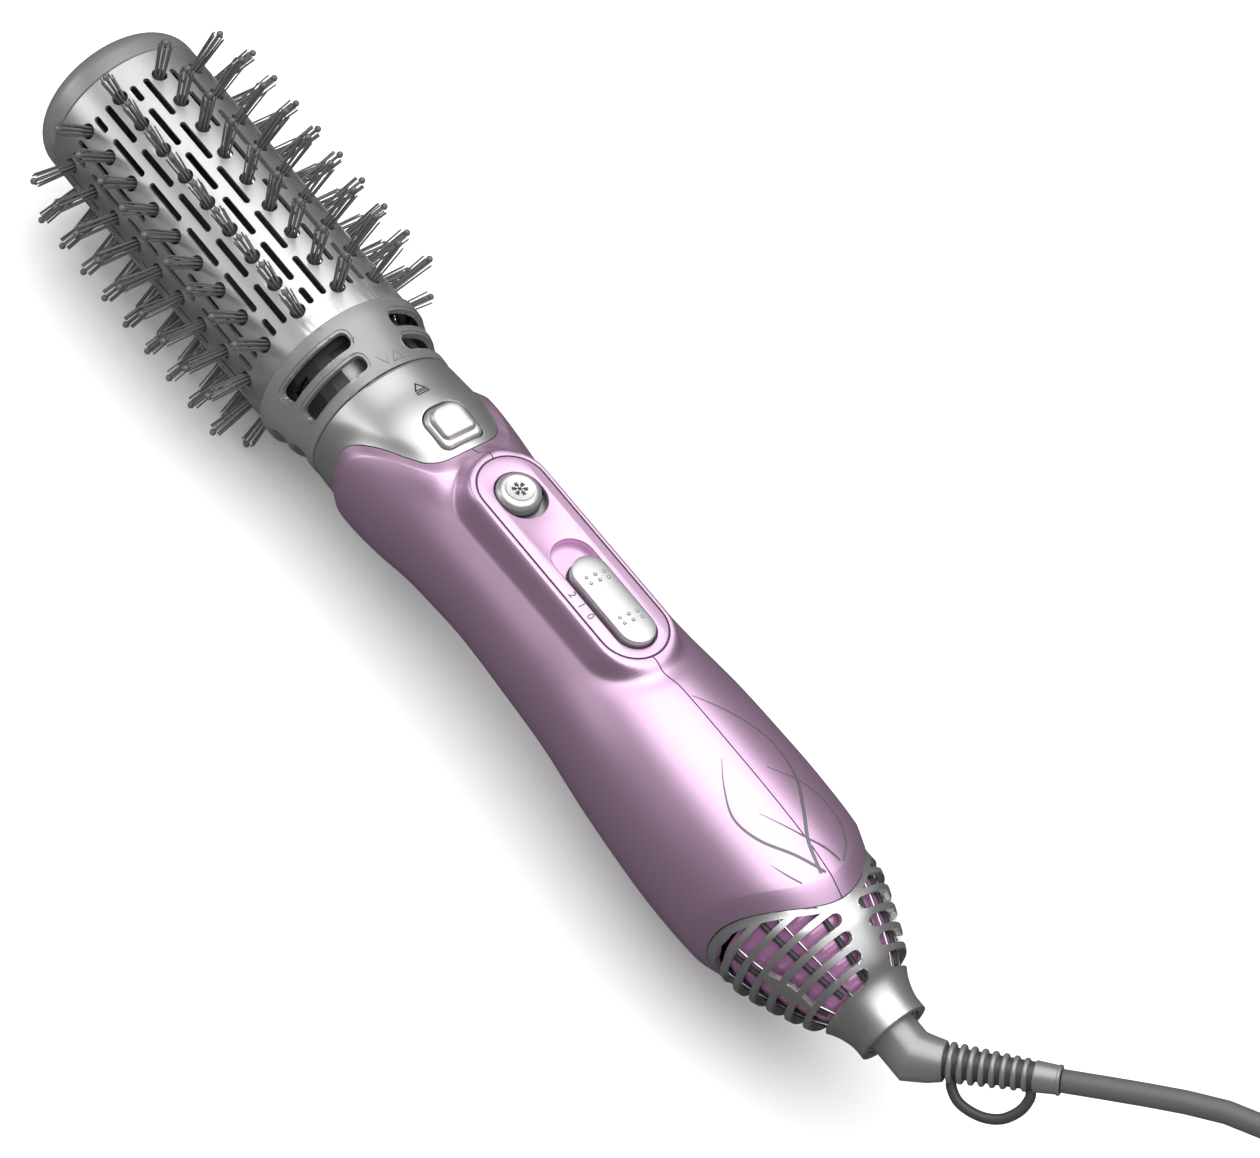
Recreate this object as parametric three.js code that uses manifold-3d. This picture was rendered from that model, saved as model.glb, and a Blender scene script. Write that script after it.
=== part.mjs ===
// Hot air brush: a vented barrel with twelve retractable bristle rows, a two-shell handle with
// its controls, heater and fan, a slotted air inlet, and a swivelling mains cord.
// Millimetres. X runs along the barrel's axis from the tip to the cord, Z is up through the
// buttons. Inside this file X starts at the first ring of tufts and Z at the barrel's axis.
import * as THREE from 'three';
import { mergeVertices } from 'three/addons/utils/BufferGeometryUtils.js';
import Module from 'manifold-3d';

const wasm = await Module();
wasm.setup();

// ---------------------------------------------------------------- driving dimensions

const GAP = 0.3;                    // clearance between neighbours that touch on the real object
const RIGHT_ANGLE = Math.PI / 2;

const BARREL = { radius: 24, wall: 1.2, front: -8.2, rear: 88.2, facets: 36 };
const TUFT = {
  rows: 12, perRow: 9, pitch: 10.1, tip: 37,
  holeLength: 4.8, holeWidth: 4.0, root: 2.6, head: 3.4,
};
const CARRIER = { inner: 20.2, outer: 22.3, width: 3.2, overhang: 2.4 };
const SLOT = { width: 1.8, length: 13.9, gap: 3.1, start: -0.8, perLine: 5 };
const CAP = { front: -18.4, edge: 6 };
const SHAFT = { radius: 4, clearance: 0.2, front: -10.2, rear: 87.6 };

const BASE_RING = { front: 88.5, rear: 108, wall: 1.8, windowWidth: 4.6, windowArc: 60 };
const VENT_RING = { inner: 18.3, outer: 19.3, front: 90, rear: 106.5, windows: 8 };
const SPIGOT = { inner: 12.6, outer: 13.9, front: 91 };

const WALL = 2.2;                   // of the handle's shells
const HANDLE_SIDES = 24;
// Where the handle is measured along X, with its radius and how far its centre rises.
const HANDLE_STATIONS = [
  [108.3, 21.6, 0], [115, 22.3, 0], [124, 23.3, 0.3], [136, 23.2, 0.8], [147, 22.0, 1.6],
  [160, 21.4, 2.3], [172, 21.3, 2.8], [190, 21.9, 2.6], [206, 22.6, 2.2], [225, 24.5, 1.6],
  [243, 25.5, 0.8], [256, 25.8, 0.4], [270, 25.3, 0.2], [280, 23.8, 0], [288, 21.6, 0],
  [297, 17.9, 0], [303, 14.8, 0], [307, 11.7, 0], [312, 9.8, 0], [316.5, 9.6, 0],
];
// Seen from the side, where the silver collar ends, as X and Z.
const COLLAR_EDGE = [
  [119.5, -30], [117.3, -14], [116.3, 0], [115.6, 8], [118.2, 12.5], [124, 16.5],
  [131.5, 19.4], [136.2, 21.2], [138.8, 24], [139, 30],
];
const GRILLE_EDGE = { side: 273.6, top: 287.2, halfHeight: 24.5, power: 2.4, steps: 8 };

const ISLAND = { front: 143.5, rear: 215, halfWidth: 11, top: 26.6 };
const PANEL = { front: 146, rear: 212.6, halfWidth: 9.3, top: 26.7, thickness: 1.5, wellBottom: 22.8 };
const LEDGE = { inset: 1.8 };
const COOL = {
  holeFront: 151, holeRear: 165.6, holeHalfWidth: 6.4,
  x: 157.3, radius: 5.9, top: 28.2, travel: 2,
};
const SLIDER = {
  wellFront: 174.2, wellRear: 210.1, wellHalfWidth: 5.85, wellFloor: 24.4,
  front: 181.3, rear: 209.5, halfWidth: 5, top: 29.2, travel: 6.6,
};
const STEM = { front: 2.6, rear: 1.6, halfWidth: 1.3, slotHalfWidth: 1.7 };
const SLIDER_STEM = { front: 191.4, rear: 198.4 };
const RELEASE = { x: 130.2, length: 12.6, width: 12.4, top: 25.5, bottom: 18.6 };

const HEATER = { front: 113, rear: 146, radius: 14.2, wall: 0.8, coilRadius: 11.8, turns: 5, wire: 0.7 };
const MOTOR = { front: 224, rear: 250, radius: 11 };
const DUCT = { front: 220, rear: 263, inner: 18.6, outer: 19.8 };
const FAN = { front: 252, rear: 261, hub: 5.5, tip: 17.8, blades: 7, shaft: 1.2 };
const FILTER = { front: 277, rear: 300, depth: 3.4, wall: 1.2 };
const GRILLE = { wall: 1.9, pitch: 4.55, slot: 2.6, first: 278.2, columns: 7, spineShare: 0.93 };

const ELBOW = { x: 323.5, radius: 6.2, length: 7.5, flange: 8.6, flangeFront: 301.2 };
const CORD_WAY = new THREE.Vector3(0.762, 0.532, 0.37).normalize();
const LOOP_WAY = new THREE.Vector3(0.627, -0.46, -0.629).normalize();
const RELIEF = { start: 7.8, end: 35.5, startRadius: 4.9, endRadius: 3.5 };
const CORD = { radius: 2.85, floor: -TUFT.tip };
// The cord's centre line from the strain relief to the top of its coil.
const CORD_ROUTE = [
  [350.8, 19.0, 13.2], [357.8, 23.9, 16.6], [365.4, 29.2, 20.2], [373.0, 34.4, 23.6],
  [380.8, 39.4, 26.4], [389.0, 43.8, 27.8], [397.6, 47.3, 27.3], [406.4, 49.4, 24.4],
  [415.2, 49.9, 18.9], [423.6, 48.6, 11.4], [431.4, 45.5, 3.0], [438.3, 40.8, -4.8],
  [444.2, 34.6, -11.0], [448.9, 27.2, -15.3],
];
// From the coil's lowest turn to the plug.
const TAIL_ROUTE = [[396, -30.8, -32.8], [391, -31, -32.2], [386, -31, -30.8], [381.5, -31, -30.4]];
const COIL = { x: 422, y: 6, inner: 22.3, outer: 39.9, bottom: 1.1, height: 17.4 };
const TIE = { width: 9, thickness: 0.8 };
const PLUG = {
  x: 363, y: -31, length: 36, width: 26, height: 13.2,
  pinRadius: 2, pinLength: 19, pinSpacing: 18.6,
};

// ---------------------------------------------------------------- materials

const finish = (color, roughness, metalness) =>
  new THREE.MeshStandardMaterial({ color, roughness, metalness });
const SATIN_SILVER = finish(0xc4c6c5, 0.34, 0.85);
const PINK = finish(0xc79cc0, 0.35, 0.55);
const GREY_PLASTIC = finish(0x7c7e80, 0.5, 0.05);
const DARK_PLASTIC = finish(0x3a3b3d, 0.55, 0);
const CORD_RUBBER = finish(0x505254, 0.6, 0);
const NYLON = finish(0x4a4b4d, 0.45, 0);
const STEEL = finish(0xb0b2b5, 0.3, 1);
const BRASS = finish(0xc9a855, 0.3, 1);
const MICA = finish(0xcfc2a0, 0.6, 0);
const BOARD = finish(0x2f6b45, 0.6, 0);

// ---------------------------------------------------------------- solids

/** Merges shared vertices, drops empty triangles and turns the faces outwards. */
function weld(geometry) {
  const bare = geometry.index ? geometry.toNonIndexed() : geometry.clone();
  for (const name of Object.keys(bare.attributes)) {
    if (name !== 'position') bare.deleteAttribute(name);
  }
  const merged = mergeVertices(bare, 1e-4);
  const corners = merged.index.array;
  const at = merged.attributes.position;
  const [a, b, c] = [new THREE.Vector3(), new THREE.Vector3(), new THREE.Vector3()];
  const kept = [];
  let volume = 0;
  for (let i = 0; i < corners.length; i += 3) {
    const [p, q, r] = corners.slice(i, i + 3);
    if (p === q || q === r || r === p) continue;
    kept.push(p, q, r);
    volume += a.fromBufferAttribute(at, p).dot(
      b.fromBufferAttribute(at, q).cross(c.fromBufferAttribute(at, r)));
  }
  merged.setIndex(volume < 0 ? kept.reverse() : kept);
  return merged;
}

/** A manifold solid from a closed three.js geometry. */
function solid(geometry) {
  const closed = weld(geometry);
  return new wasm.Manifold(new wasm.Mesh({
    numProp: 3,
    vertProperties: new Float32Array(closed.attributes.position.array),
    triVerts: new Uint32Array(closed.index.array),
  }));
}

/** A three.js geometry from a manifold solid. */
function shapeOf(body) {
  const mesh = body.getMesh();
  const geometry = new THREE.BufferGeometry();
  geometry.setAttribute('position', new THREE.BufferAttribute(mesh.vertProperties, 3));
  geometry.setIndex(new THREE.BufferAttribute(mesh.triVerts, 1));
  return geometry;
}

const cut = (body, ...tools) => tools.reduce((rest, tool) => rest.subtract(tool), body);
const join = (body, ...others) => others.reduce((whole, other) => whole.add(other), body);

/** A box between two corners. */
function block([x0, y0, z0], [x1, y1, z1]) {
  const box = new THREE.BoxGeometry(x1 - x0, y1 - y0, z1 - z0);
  return box.translate((x0 + x1) / 2, (y0 + y1) / 2, (z0 + z1) / 2);
}

/** A solid turned about the X axis from [x, radius] points. */
function turned(points, sides = 18, start = 0) {
  const profile = points.map(([x, radius]) => new THREE.Vector2(radius, x));
  return weld(new THREE.LatheGeometry(profile, sides, start)).rotateZ(-RIGHT_ANGLE);
}

/** A tube about the X axis. */
function tube(front, rear, inner, outer, sides = 18, start = 0) {
  const points = [[front, inner], [front, outer], [rear, outer], [rear, inner], [front, inner]];
  return turned(points, sides, start);
}

/** A solid cylinder about the X axis. */
function rod(front, rear, radius, sides = 16) {
  return turned([[front, 0], [front, radius], [rear, radius], [rear, 0]], sides);
}

/** A shape in X and Y with round ends, from one end to the other. */
function stadium(front, rear, halfWidth) {
  const shape = new THREE.Shape();
  shape.absarc(front + halfWidth, 0, halfWidth, RIGHT_ANGLE, -RIGHT_ANGLE + 2 * Math.PI, false);
  shape.absarc(rear - halfWidth, 0, halfWidth, -RIGHT_ANGLE, RIGHT_ANGLE, false);
  return shape;
}

/** A shape in X and Y, raised from one height to another. */
function raised(shape, bottom, top, curveSegments = 7) {
  const geometry = new THREE.ExtrudeGeometry(shape, {
    depth: top - bottom, bevelEnabled: false, curveSegments,
  });
  return geometry.translate(0, 0, bottom);
}

/** A round tube along a curve. */
function swept(curve, radius, sides, steps) {
  const section = new THREE.Shape();
  for (let i = 0; i < sides; i++) {
    const angle = (2 * Math.PI * i) / sides;
    const point = [radius * Math.cos(angle), radius * Math.sin(angle)];
    if (i === 0) section.moveTo(...point);
    else section.lineTo(...point);
  }
  return new THREE.ExtrudeGeometry(section, { steps, extrudePath: curve, bevelEnabled: false });
}

const curveThrough = (points) =>
  new THREE.CatmullRomCurve3(points.map((point) => new THREE.Vector3(...point)), false, 'centripetal');

/** A helix about an axis along X, for the springs and the heating wire. */
class Helix extends THREE.Curve {
  constructor(from, length, radius, turns) {
    super();
    Object.assign(this, { from, length, radius, turns });
  }

  getPoint(t, target = new THREE.Vector3()) {
    const angle = 2 * Math.PI * this.turns * t;
    const [x, y, z] = this.from;
    const [side, up] = [this.radius * Math.cos(angle), this.radius * Math.sin(angle)];
    return target.set(x + this.length * t, y + side, z + up);
  }
}

const helix = (from, length, radius, turns, wire, stepsPerTurn = 10) =>
  swept(new Helix(from, length, radius, turns), wire, 4, Math.round(turns * stepsPerTurn));

// ---------------------------------------------------------------- assembly

const brush = new THREE.Group();

/** Adds one named piece to a group. */
function place(name, geometry, material, group = brush) {
  const mesh = new THREE.Mesh(geometry, material);
  mesh.name = name;
  group.add(mesh);
  return mesh;
}

// ---------------------------------------------------------------- brush head

function buildBarrel() {
  const half = Math.PI / BARREL.facets;
  const inner = BARREL.radius - BARREL.wall;
  const pipe = solid(tube(BARREL.front, BARREL.rear, inner, BARREL.radius, BARREL.facets, half));
  const tools = [];
  for (let row = 0; row < TUFT.rows; row++) {
    const angle = (2 * Math.PI * row) / TUFT.rows;
    const cutter = (x0, x1, width, turn) => {
      const box = block([x0, -width / 2, inner - 2], [x1, width / 2, BARREL.radius + 2]);
      return solid(box.rotateX(turn));
    };
    for (let i = 0; i < TUFT.perRow; i++) {
      const x = i * TUFT.pitch;
      tools.push(cutter(x - TUFT.holeLength / 2, x + TUFT.holeLength / 2, TUFT.holeWidth, angle));
    }
    for (let i = 0; i < SLOT.perLine; i++) {
      const x = SLOT.start + i * (SLOT.length + SLOT.gap);
      tools.push(cutter(x, x + SLOT.length, SLOT.width, angle + (2 * Math.PI) / BARREL.facets));
    }
  }
  place('barrel', shapeOf(cut(pipe, ...tools)), SATIN_SILVER);
}

/** One retractable row: a carrier strip with nine tufts, standing up along Z. */
function bristleRow() {
  const { inner, outer, width, overhang } = CARRIER;
  const last = (TUFT.perRow - 1) * TUFT.pitch;
  const strip = solid(block([-overhang, -width / 2, inner], [last + overhang, width / 2, outer]));
  const tufts = Array.from({ length: TUFT.perRow }, (_, i) => {
    const height = TUFT.tip - outer + 0.4;
    const post = new THREE.CylinderGeometry(
      TUFT.head / Math.SQRT2, TUFT.root / Math.SQRT2, height, 4);
    post.rotateY(Math.PI / 4).rotateX(RIGHT_ANGLE);
    return solid(post.translate(i * TUFT.pitch, 0, TUFT.tip - height / 2));
  });
  return shapeOf(join(strip, ...tufts));
}

function buildBristleRows() {
  const row = bristleRow();
  for (let i = 0; i < TUFT.rows; i++) {
    const name = `bristle_row_${String(i + 1).padStart(2, '0')}`;
    place(name, row, NYLON).rotation.x = (2 * Math.PI * i) / TUFT.rows;
  }
}

/** The disc and the spoked hub that carry the shaft inside the barrel. */
function buildBearings() {
  const outer = BARREL.radius - BARREL.wall - GAP;
  const bore = SHAFT.radius + SHAFT.clearance;
  place('front_bearing', tube(-7.8, -5.6, bore, outer), GREY_PLASTIC);
  const rim = solid(tube(85.6, 87.8, outer - 2, outer));
  const hub = solid(tube(85.6, 87.8, bore, 7));
  const spokes = [0, 1, 2].map((i) => {
    const spoke = block([85.9, -1, 6.5], [87.5, 1, outer - 1]);
    return solid(spoke.rotateX((2 * Math.PI * i) / 3));
  });
  place('rear_bearing', shapeOf(join(rim, hub, ...spokes)), GREY_PLASTIC);
}

/** The twist cap, its shaft and the two scroll plates that draw the rows in. */
function buildTwistCap() {
  const { front, edge } = CAP;
  const outer = BARREL.radius;
  const rear = BARREL.front - GAP;
  const rounding = Array.from({ length: 4 }, (_, i) => {
    const angle = (RIGHT_ANGLE * i) / 3;
    return [front + edge * (1 - Math.sin(angle)), outer - edge * (1 - Math.cos(angle))];
  }).reverse();
  const bore = SHAFT.radius + GAP;
  const profile = [
    [front, 0], ...rounding, [rear, outer], [rear, outer - 2], [front + 2, outer - edge - 1],
    [front + 2, bore + 2], [rear, bore + 2], [rear, bore], [front + 2, bore], [front + 2, 0],
  ];
  place('end_cap', turned(profile, 24), GREY_PLASTIC);
  place('cam_shaft', rod(CAP.front + 2 + GAP, SHAFT.rear, SHAFT.radius), DARK_PLASTIC);
  const plate = (name, x0, x1) =>
    place(name, tube(x0, x1, SHAFT.radius + GAP, 18), DARK_PLASTIC);
  plate('scroll_plate_front', -5.2, -2.9);
  plate('scroll_plate_rear', 83.7, 85.2);
}

/** A slice of a ring, as wide as an arc about the X axis. */
function ringSlice(front, rear, inner, outer, middle, arc) {
  const shape = new THREE.Shape();
  shape.absarc(0, 0, outer, middle - arc / 2, middle + arc / 2, false);
  shape.absarc(0, 0, inner, middle + arc / 2, middle - arc / 2, true);
  const slice = new THREE.ExtrudeGeometry(shape, {
    depth: rear - front, bevelEnabled: false, curveSegments: 3,
  });
  // The extrusion's own Z becomes X, and its X becomes Z.
  return slice.rotateY(RIGHT_ANGLE).rotateX(RIGHT_ANGLE).translate(front, 0, 0);
}

function buildBaseRing() {
  const { front, rear, wall, windowWidth, windowArc } = BASE_RING;
  const skin = [[front, 24.8], [front + 4, 24.6], [front + 9.5, 23.1], [front + 15, 21.9], [rear, 21.7]];
  const inside = [...skin].reverse().map(([x, radius]) => [x, radius - wall]);
  const ring = solid(turned([...skin, ...inside, skin[0]], 24));
  const arc = THREE.MathUtils.degToRad(windowArc);
  const windows = [];
  for (let group = 0; group < 4; group++) {
    const middle = Math.PI / 4 + group * RIGHT_ANGLE;
    for (const start of [front + 3.8, front + 10.8]) {
      windows.push(solid(ringSlice(start, start + windowWidth, 18, 28, middle, arc)));
    }
  }
  place('base_ring', shapeOf(cut(ring, ...windows)), GREY_PLASTIC);
}

function buildVentRing() {
  const { inner, outer, front, rear, windows } = VENT_RING;
  const ring = solid(tube(front, rear, inner, outer, 16));
  const openings = Array.from({ length: windows }, (_, i) => {
    const opening = block([front + 3, -3.4, inner - 3], [rear - 3, 3.4, outer + 2]);
    return solid(opening.rotateX((2 * Math.PI * (i + 0.5)) / windows));
  });
  place('inner_vent_ring', shapeOf(cut(ring, ...openings)), DARK_PLASTIC);
}

// ---------------------------------------------------------------- handle

/** The handle's round outline, smaller by an inset, as one closed solid. */
function handleBody(inset, from = -Infinity, to = Infinity, sides = HANDLE_SIDES) {
  const outline = new THREE.SplineCurve(HANDLE_STATIONS.map(([x, radius]) => new THREE.Vector2(x, radius)));
  const rise = new THREE.SplineCurve(HANDLE_STATIONS.map(([x, , up]) => new THREE.Vector2(x, up)));
  const steps = HANDLE_STATIONS.length - 1;
  const rises = rise.getPoints(steps);
  const rings = outline.getPoints(steps).map((point, i) => [point.x, point.y - inset, rises[i].y]);
  const kept = rings.filter(([x]) => x >= from && x <= to);
  const profile = [[kept[0][0], 0], ...kept.map(([x, radius]) => [x, radius]), [kept.at(-1)[0], 0]];
  const body = turned(profile, sides);
  const at = body.attributes.position;
  for (let i = 0; i < at.count; i++) {
    const [, , up] = kept.reduce((best, ring) =>
      (Math.abs(ring[0] - at.getX(i)) < Math.abs(best[0] - at.getX(i)) ? ring : best));
    at.setZ(i, at.getZ(i) + up);
  }
  return body;
}

/** The space in front of a side-view outline given as [x, z] points, across the whole width. */
function frontOf(points, start, shift) {
  const curve = new THREE.SplineCurve(points.map(([x, z]) => new THREE.Vector2(x + shift, z)));
  const shape = new THREE.Shape([new THREE.Vector2(start, points[0][1]),
    ...curve.getPoints(2 * points.length), new THREE.Vector2(start, points.at(-1)[1])]);
  const slab = new THREE.ExtrudeGeometry(shape, { depth: 120, bevelEnabled: false });
  return solid(slab.rotateX(RIGHT_ANGLE).translate(0, 60, 0));
}

/** The rear edge of the shells, which bows forward at the sides. */
function grilleEdge() {
  const { side, top, halfHeight, power, steps } = GRILLE_EDGE;
  const edge = [];
  for (let i = -steps; i <= steps; i++) {
    const share = (1.22 * i) / steps;
    const reach = Math.min(Math.abs(share), 1) ** power;
    edge.push([side + (top - side) * reach, share * halfHeight]);
  }
  return edge;
}

const box = (from, to) => solid(block(from, to));
const far = 400;

/** The outer skin with the island under the controls. */
function outerSkin() {
  const island = raised(stadium(ISLAND.front, ISLAND.rear, ISLAND.halfWidth), 12, ISLAND.top);
  return join(solid(handleBody(0)), solid(island));
}

/** A screw boss across the handle, with its bore. */
function boss(x, z, from, to, bore) {
  const post = new THREE.CylinderGeometry(3.4, 3.4, to - from, 12).translate(x, (from + to) / 2, z);
  const hole = new THREE.CylinderGeometry(bore, bore, to - from + 2, 10).translate(x, (from + to) / 2, z);
  return cut(solid(post), solid(hole));
}

const SCREWS = [{ name: 'handle_screw_front', x: 153, z: -12 }, { name: 'handle_screw_rear', x: 213, z: -12 }];

function buildShells() {
  const skin = outerSkin();
  const hollow = solid(handleBody(WALL));
  const pocket = stadium(PANEL.front - GAP, PANEL.rear + GAP, PANEL.halfWidth + GAP);
  const { inset } = LEDGE;
  const opening = stadium(PANEL.front + inset, PANEL.rear - inset, PANEL.halfWidth - inset);
  const floor = PANEL.top - PANEL.thickness - GAP;
  const shell = cut(
    skin, hollow, releaseOpening(), frontOf(COLLAR_EDGE, 90, GAP), box([270, -60, -60], [far, 60, 60])
      .subtract(frontOf(grilleEdge(), 100, 0)),
    solid(raised(pocket, floor, far)), solid(raised(opening, 10, far)));
  const halves = [
    ['handle_shell_left', [-far, -60, -60], [far, -GAP / 2, 60]],
    ['handle_shell_right', [-far, GAP / 2, -60], [far, 60, 60]],
  ];
  for (const [name, from, to] of halves) {
    const right = name.endsWith('right');
    let half = shell.intersect(box(from, to));
    for (const { x, z } of SCREWS) {
      const post = right ? boss(x, z, 1, 18, 1.7) : boss(x, z, -19, -1, 1.6);
      half = join(half, post.intersect(solid(handleBody(1))));
      if (right) half = cut(half, ...screwWay(x, z));
    }
    place(name, shapeOf(half), PINK);
  }
}

/** The way in for a screw from the right-hand side: a shank hole and a wide hole for its head. */
function screwWay(x, z) {
  const shank = new THREE.CylinderGeometry(1.7, 1.7, 40, 10).translate(x, 18, z);
  const head = new THREE.CylinderGeometry(3, 3, 20, 12).translate(x, 24, z);
  return [solid(shank), solid(head)];
}

function buildScrews() {
  for (const { name, x, z } of SCREWS) {
    const shank = new THREE.CylinderGeometry(1.3, 1.3, 24, 10).translate(x, 2, z);
    const head = new THREE.CylinderGeometry(2.6, 2.6, 2, 12).translate(x, 15, z);
    place(name, shapeOf(join(solid(shank), solid(head))), STEEL);
  }
}

/** The hole for the release button. */
function releaseOpening() {
  const { x, length, width } = RELEASE;
  return box([x - length / 2 - GAP, -width / 2 - GAP, 15], [x + length / 2 + GAP, width / 2 + GAP, 30]);
}

/** The silver collar with the spigot that the brush head slides over. */
function buildCollar() {
  const hollow = solid(handleBody(WALL));
  const skin = cut(solid(handleBody(0)), hollow).intersect(frontOf(COLLAR_EDGE, 90, 0));
  const spigot = solid(tube(SPIGOT.front, 112, SPIGOT.inner, SPIGOT.outer, 24));
  const face = solid(tube(110, 112, SPIGOT.inner, 21, 24));
  const hookWay = box([100, -3.2, 13.95], [114, 3.2, 18]);
  place('neck_collar', shapeOf(cut(join(skin, face, spigot), releaseOpening(), hookWay)), SATIN_SILVER);
}

function buildControlPanel() {
  const { front, rear, halfWidth, top, thickness, wellBottom } = PANEL;
  const plate = raised(stadium(front, rear, halfWidth), top - thickness, top);
  const inset = LEDGE.inset + GAP;
  const well = raised(stadium(front + inset, rear - inset, halfWidth - inset), wellBottom, top - 0.5);
  const coolHole = raised(stadium(COOL.holeFront, COOL.holeRear, COOL.holeHalfWidth), 24, far);
  const slideHole = raised(
    stadium(SLIDER.wellFront, SLIDER.wellRear, SLIDER.wellHalfWidth), SLIDER.wellFloor, far);
  const slot = (from, to) => box([from, -STEM.slotHalfWidth, 0], [to, STEM.slotHalfWidth, 30]);
  const coolSlot = slot(COOL.x - STEM.front - GAP, COOL.x + STEM.rear + COOL.travel + GAP);
  const slideSlot = slot(SLIDER_STEM.front - SLIDER.travel - GAP, SLIDER_STEM.rear + GAP);
  const panel = cut(join(solid(plate), solid(well)), solid(coolHole), solid(slideHole), coolSlot, slideSlot);
  place('control_panel', shapeOf(panel), PINK);
}

// ---------------------------------------------------------------- controls

function buildReleaseButton() {
  const { x, length, width, top, bottom } = RELEASE;
  const from = x - length / 2;
  const to = x + length / 2;
  const body = box([from, -width / 2, bottom], [to, width / 2, 23.4]);
  const pad = box([from + 1.2, -width / 2 + 1.2, 23], [to - 3.4, width / 2 - 1.2, top]);
  place('release_button', shapeOf(join(body, pad)), SATIN_SILVER);
  const bar = box([104.8, -2.6, 16.4], [from + 5, 2.6, 17.3]);
  const nose = box([104.8, -2.6, 16.2], [106.2, 2.6, 17.5]);
  place('latch_hook', shapeOf(join(bar, nose)), DARK_PLASTIC);
  const spring = helix([0, 0, 0], 2.8, 2, 3, 0.25, 7).rotateY(-RIGHT_ANGLE);
  place('release_spring', spring.translate(x + 2, 0, 15.2), STEEL);
}

function buildCoolButton() {
  const { x, radius, top } = COOL;
  const dome = [
    [24.3, 0], [24.3, radius], [26.8, radius],
    [27.8, radius - 0.8], [top, radius - 2.4], [top, 0],
  ];
  const cap = turned(dome, 20).rotateY(-RIGHT_ANGLE).translate(x, 0, 0);
  const { front, rear, halfWidth } = STEM;
  const stem = box([x - front, -halfWidth, 20.4], [x + rear, halfWidth, 24.6]);
  place('cool_button', shapeOf(join(solid(cap), stem)), SATIN_SILVER);
  place('cool_spring', helix([x + rear + GAP + COOL.travel, 0, 21.3], 5, 1, 5, 0.22, 6), STEEL);
}

function buildSlideSwitch() {
  const { front, rear, halfWidth, top, wellFloor } = SLIDER;
  const base = solid(raised(stadium(front, rear, halfWidth), wellFloor + GAP, top - 1.6));
  const crown = solid(raised(stadium(front + 0.9, rear - 0.9, halfWidth - 0.9), top - 1.8, top));
  const stem = box(
    [SLIDER_STEM.front, -STEM.halfWidth, 22.5],
    [SLIDER_STEM.rear, STEM.halfWidth, wellFloor + 0.5],
  );
  place('switch_slider', shapeOf(join(base, crown, stem)), SATIN_SILVER);
  place('switch_carriage', block([188, -3.5, 20.4], [202, 3.5, 22.2]), DARK_PLASTIC);
  place('switch_body', block([179, -5, 14.9], [206, 5, 20.1]), DARK_PLASTIC);
  place('circuit_board', block([152, -7, 13], [212, 7, 14.5]), BOARD);
}

// ---------------------------------------------------------------- heater and fan

function buildHeater() {
  const { front, rear, radius, wall, coilRadius, turns, wire } = HEATER;
  place('heater_tube', tube(front, rear, radius - wall, radius, 20), MICA);
  const reach = coilRadius - wire - GAP;
  const across = box([front + 1, -reach, -0.5], [rear - 1, reach, 0.5]);
  const upright = box([front + 1, -0.5, -reach], [rear - 1, 0.5, reach]);
  place('heater_cross', shapeOf(join(across, upright)), MICA);
  place('heater_coil', helix([front + 3, 0, 0], rear - front - 6, coilRadius, turns, wire, 12), STEEL);
  place('thermostat', rod(rear + 1, rear + 4.5, 4, 12).translate(0, 0, 3), STEEL);
}

function buildFan() {
  const { front, rear, radius } = MOTOR;
  place('motor_can', shapeOf(cut(solid(rod(front, rear, radius, 20)),
    solid(rod(rear - 6, rear + 2, FAN.shaft + GAP, 10)))), STEEL);
  const outer = solid(tube(DUCT.front, DUCT.rear, DUCT.inner, DUCT.outer));
  const inner = solid(tube(front + 3, rear - 3, radius + GAP, radius + 1.6, 20));
  const vanes = [0, 1, 2, 3, 4].map((i) => {
    const vane = block([front + 4, -0.8, radius + 1.2], [rear - 4, 0.8, DUCT.inner + 0.6]);
    return solid(vane.rotateX((2 * Math.PI * i) / 5));
  });
  place('motor_mount', shapeOf(join(outer, inner, ...vanes)), DARK_PLASTIC);
  place('motor_shaft', rod(rear - 5, FAN.rear + 1.5, FAN.shaft, 10), STEEL);
  const hub = cut(solid(rod(FAN.front, FAN.rear, FAN.hub, 18)),
    solid(rod(FAN.front - 1, FAN.rear + 1, FAN.shaft + GAP, 10)));
  const blades = Array.from({ length: FAN.blades }, (_, i) => {
    const blade = new THREE.BoxGeometry(7.6, 1.1, FAN.tip - FAN.hub + 1).rotateZ(Math.PI / 5);
    blade.translate((FAN.front + FAN.rear) / 2, 0, (FAN.tip + FAN.hub - 1) / 2);
    return solid(blade.rotateX((2 * Math.PI * i) / FAN.blades));
  });
  place('fan_impeller', shapeOf(join(hub, ...blades)), DARK_PLASTIC);
}

// ---------------------------------------------------------------- air inlet

/** The slotted rear grille, which ends in the collar that holds the cord's swivel. */
function buildGrille() {
  const { wall, pitch, slot, first, columns, spineShare } = GRILLE;
  const body = cut(solid(handleBody(0, 270)), solid(handleBody(wall, 268)));
  const behind = cut(body, frontOf(grilleEdge(), 100, GAP), solid(rod(300, 330, 7.7, 24)));
  const outline = new THREE.SplineCurve(HANDLE_STATIONS.map(([x, radius]) => new THREE.Vector2(x, radius)));
  const rings = outline.getPoints(100);
  const slots = Array.from({ length: columns }, (_, i) => {
    const x = first + i * pitch;
    const radius = rings.find((point) => point.x >= x).y;
    const reach = Math.min(spineShare * radius, 7.5 + 5.2 * i);
    return box([x - slot / 2, -60, -reach], [x + slot / 2, 60, reach]);
  });
  place('rear_grille', shapeOf(cut(behind, ...slots)), SATIN_SILVER);
}

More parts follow.
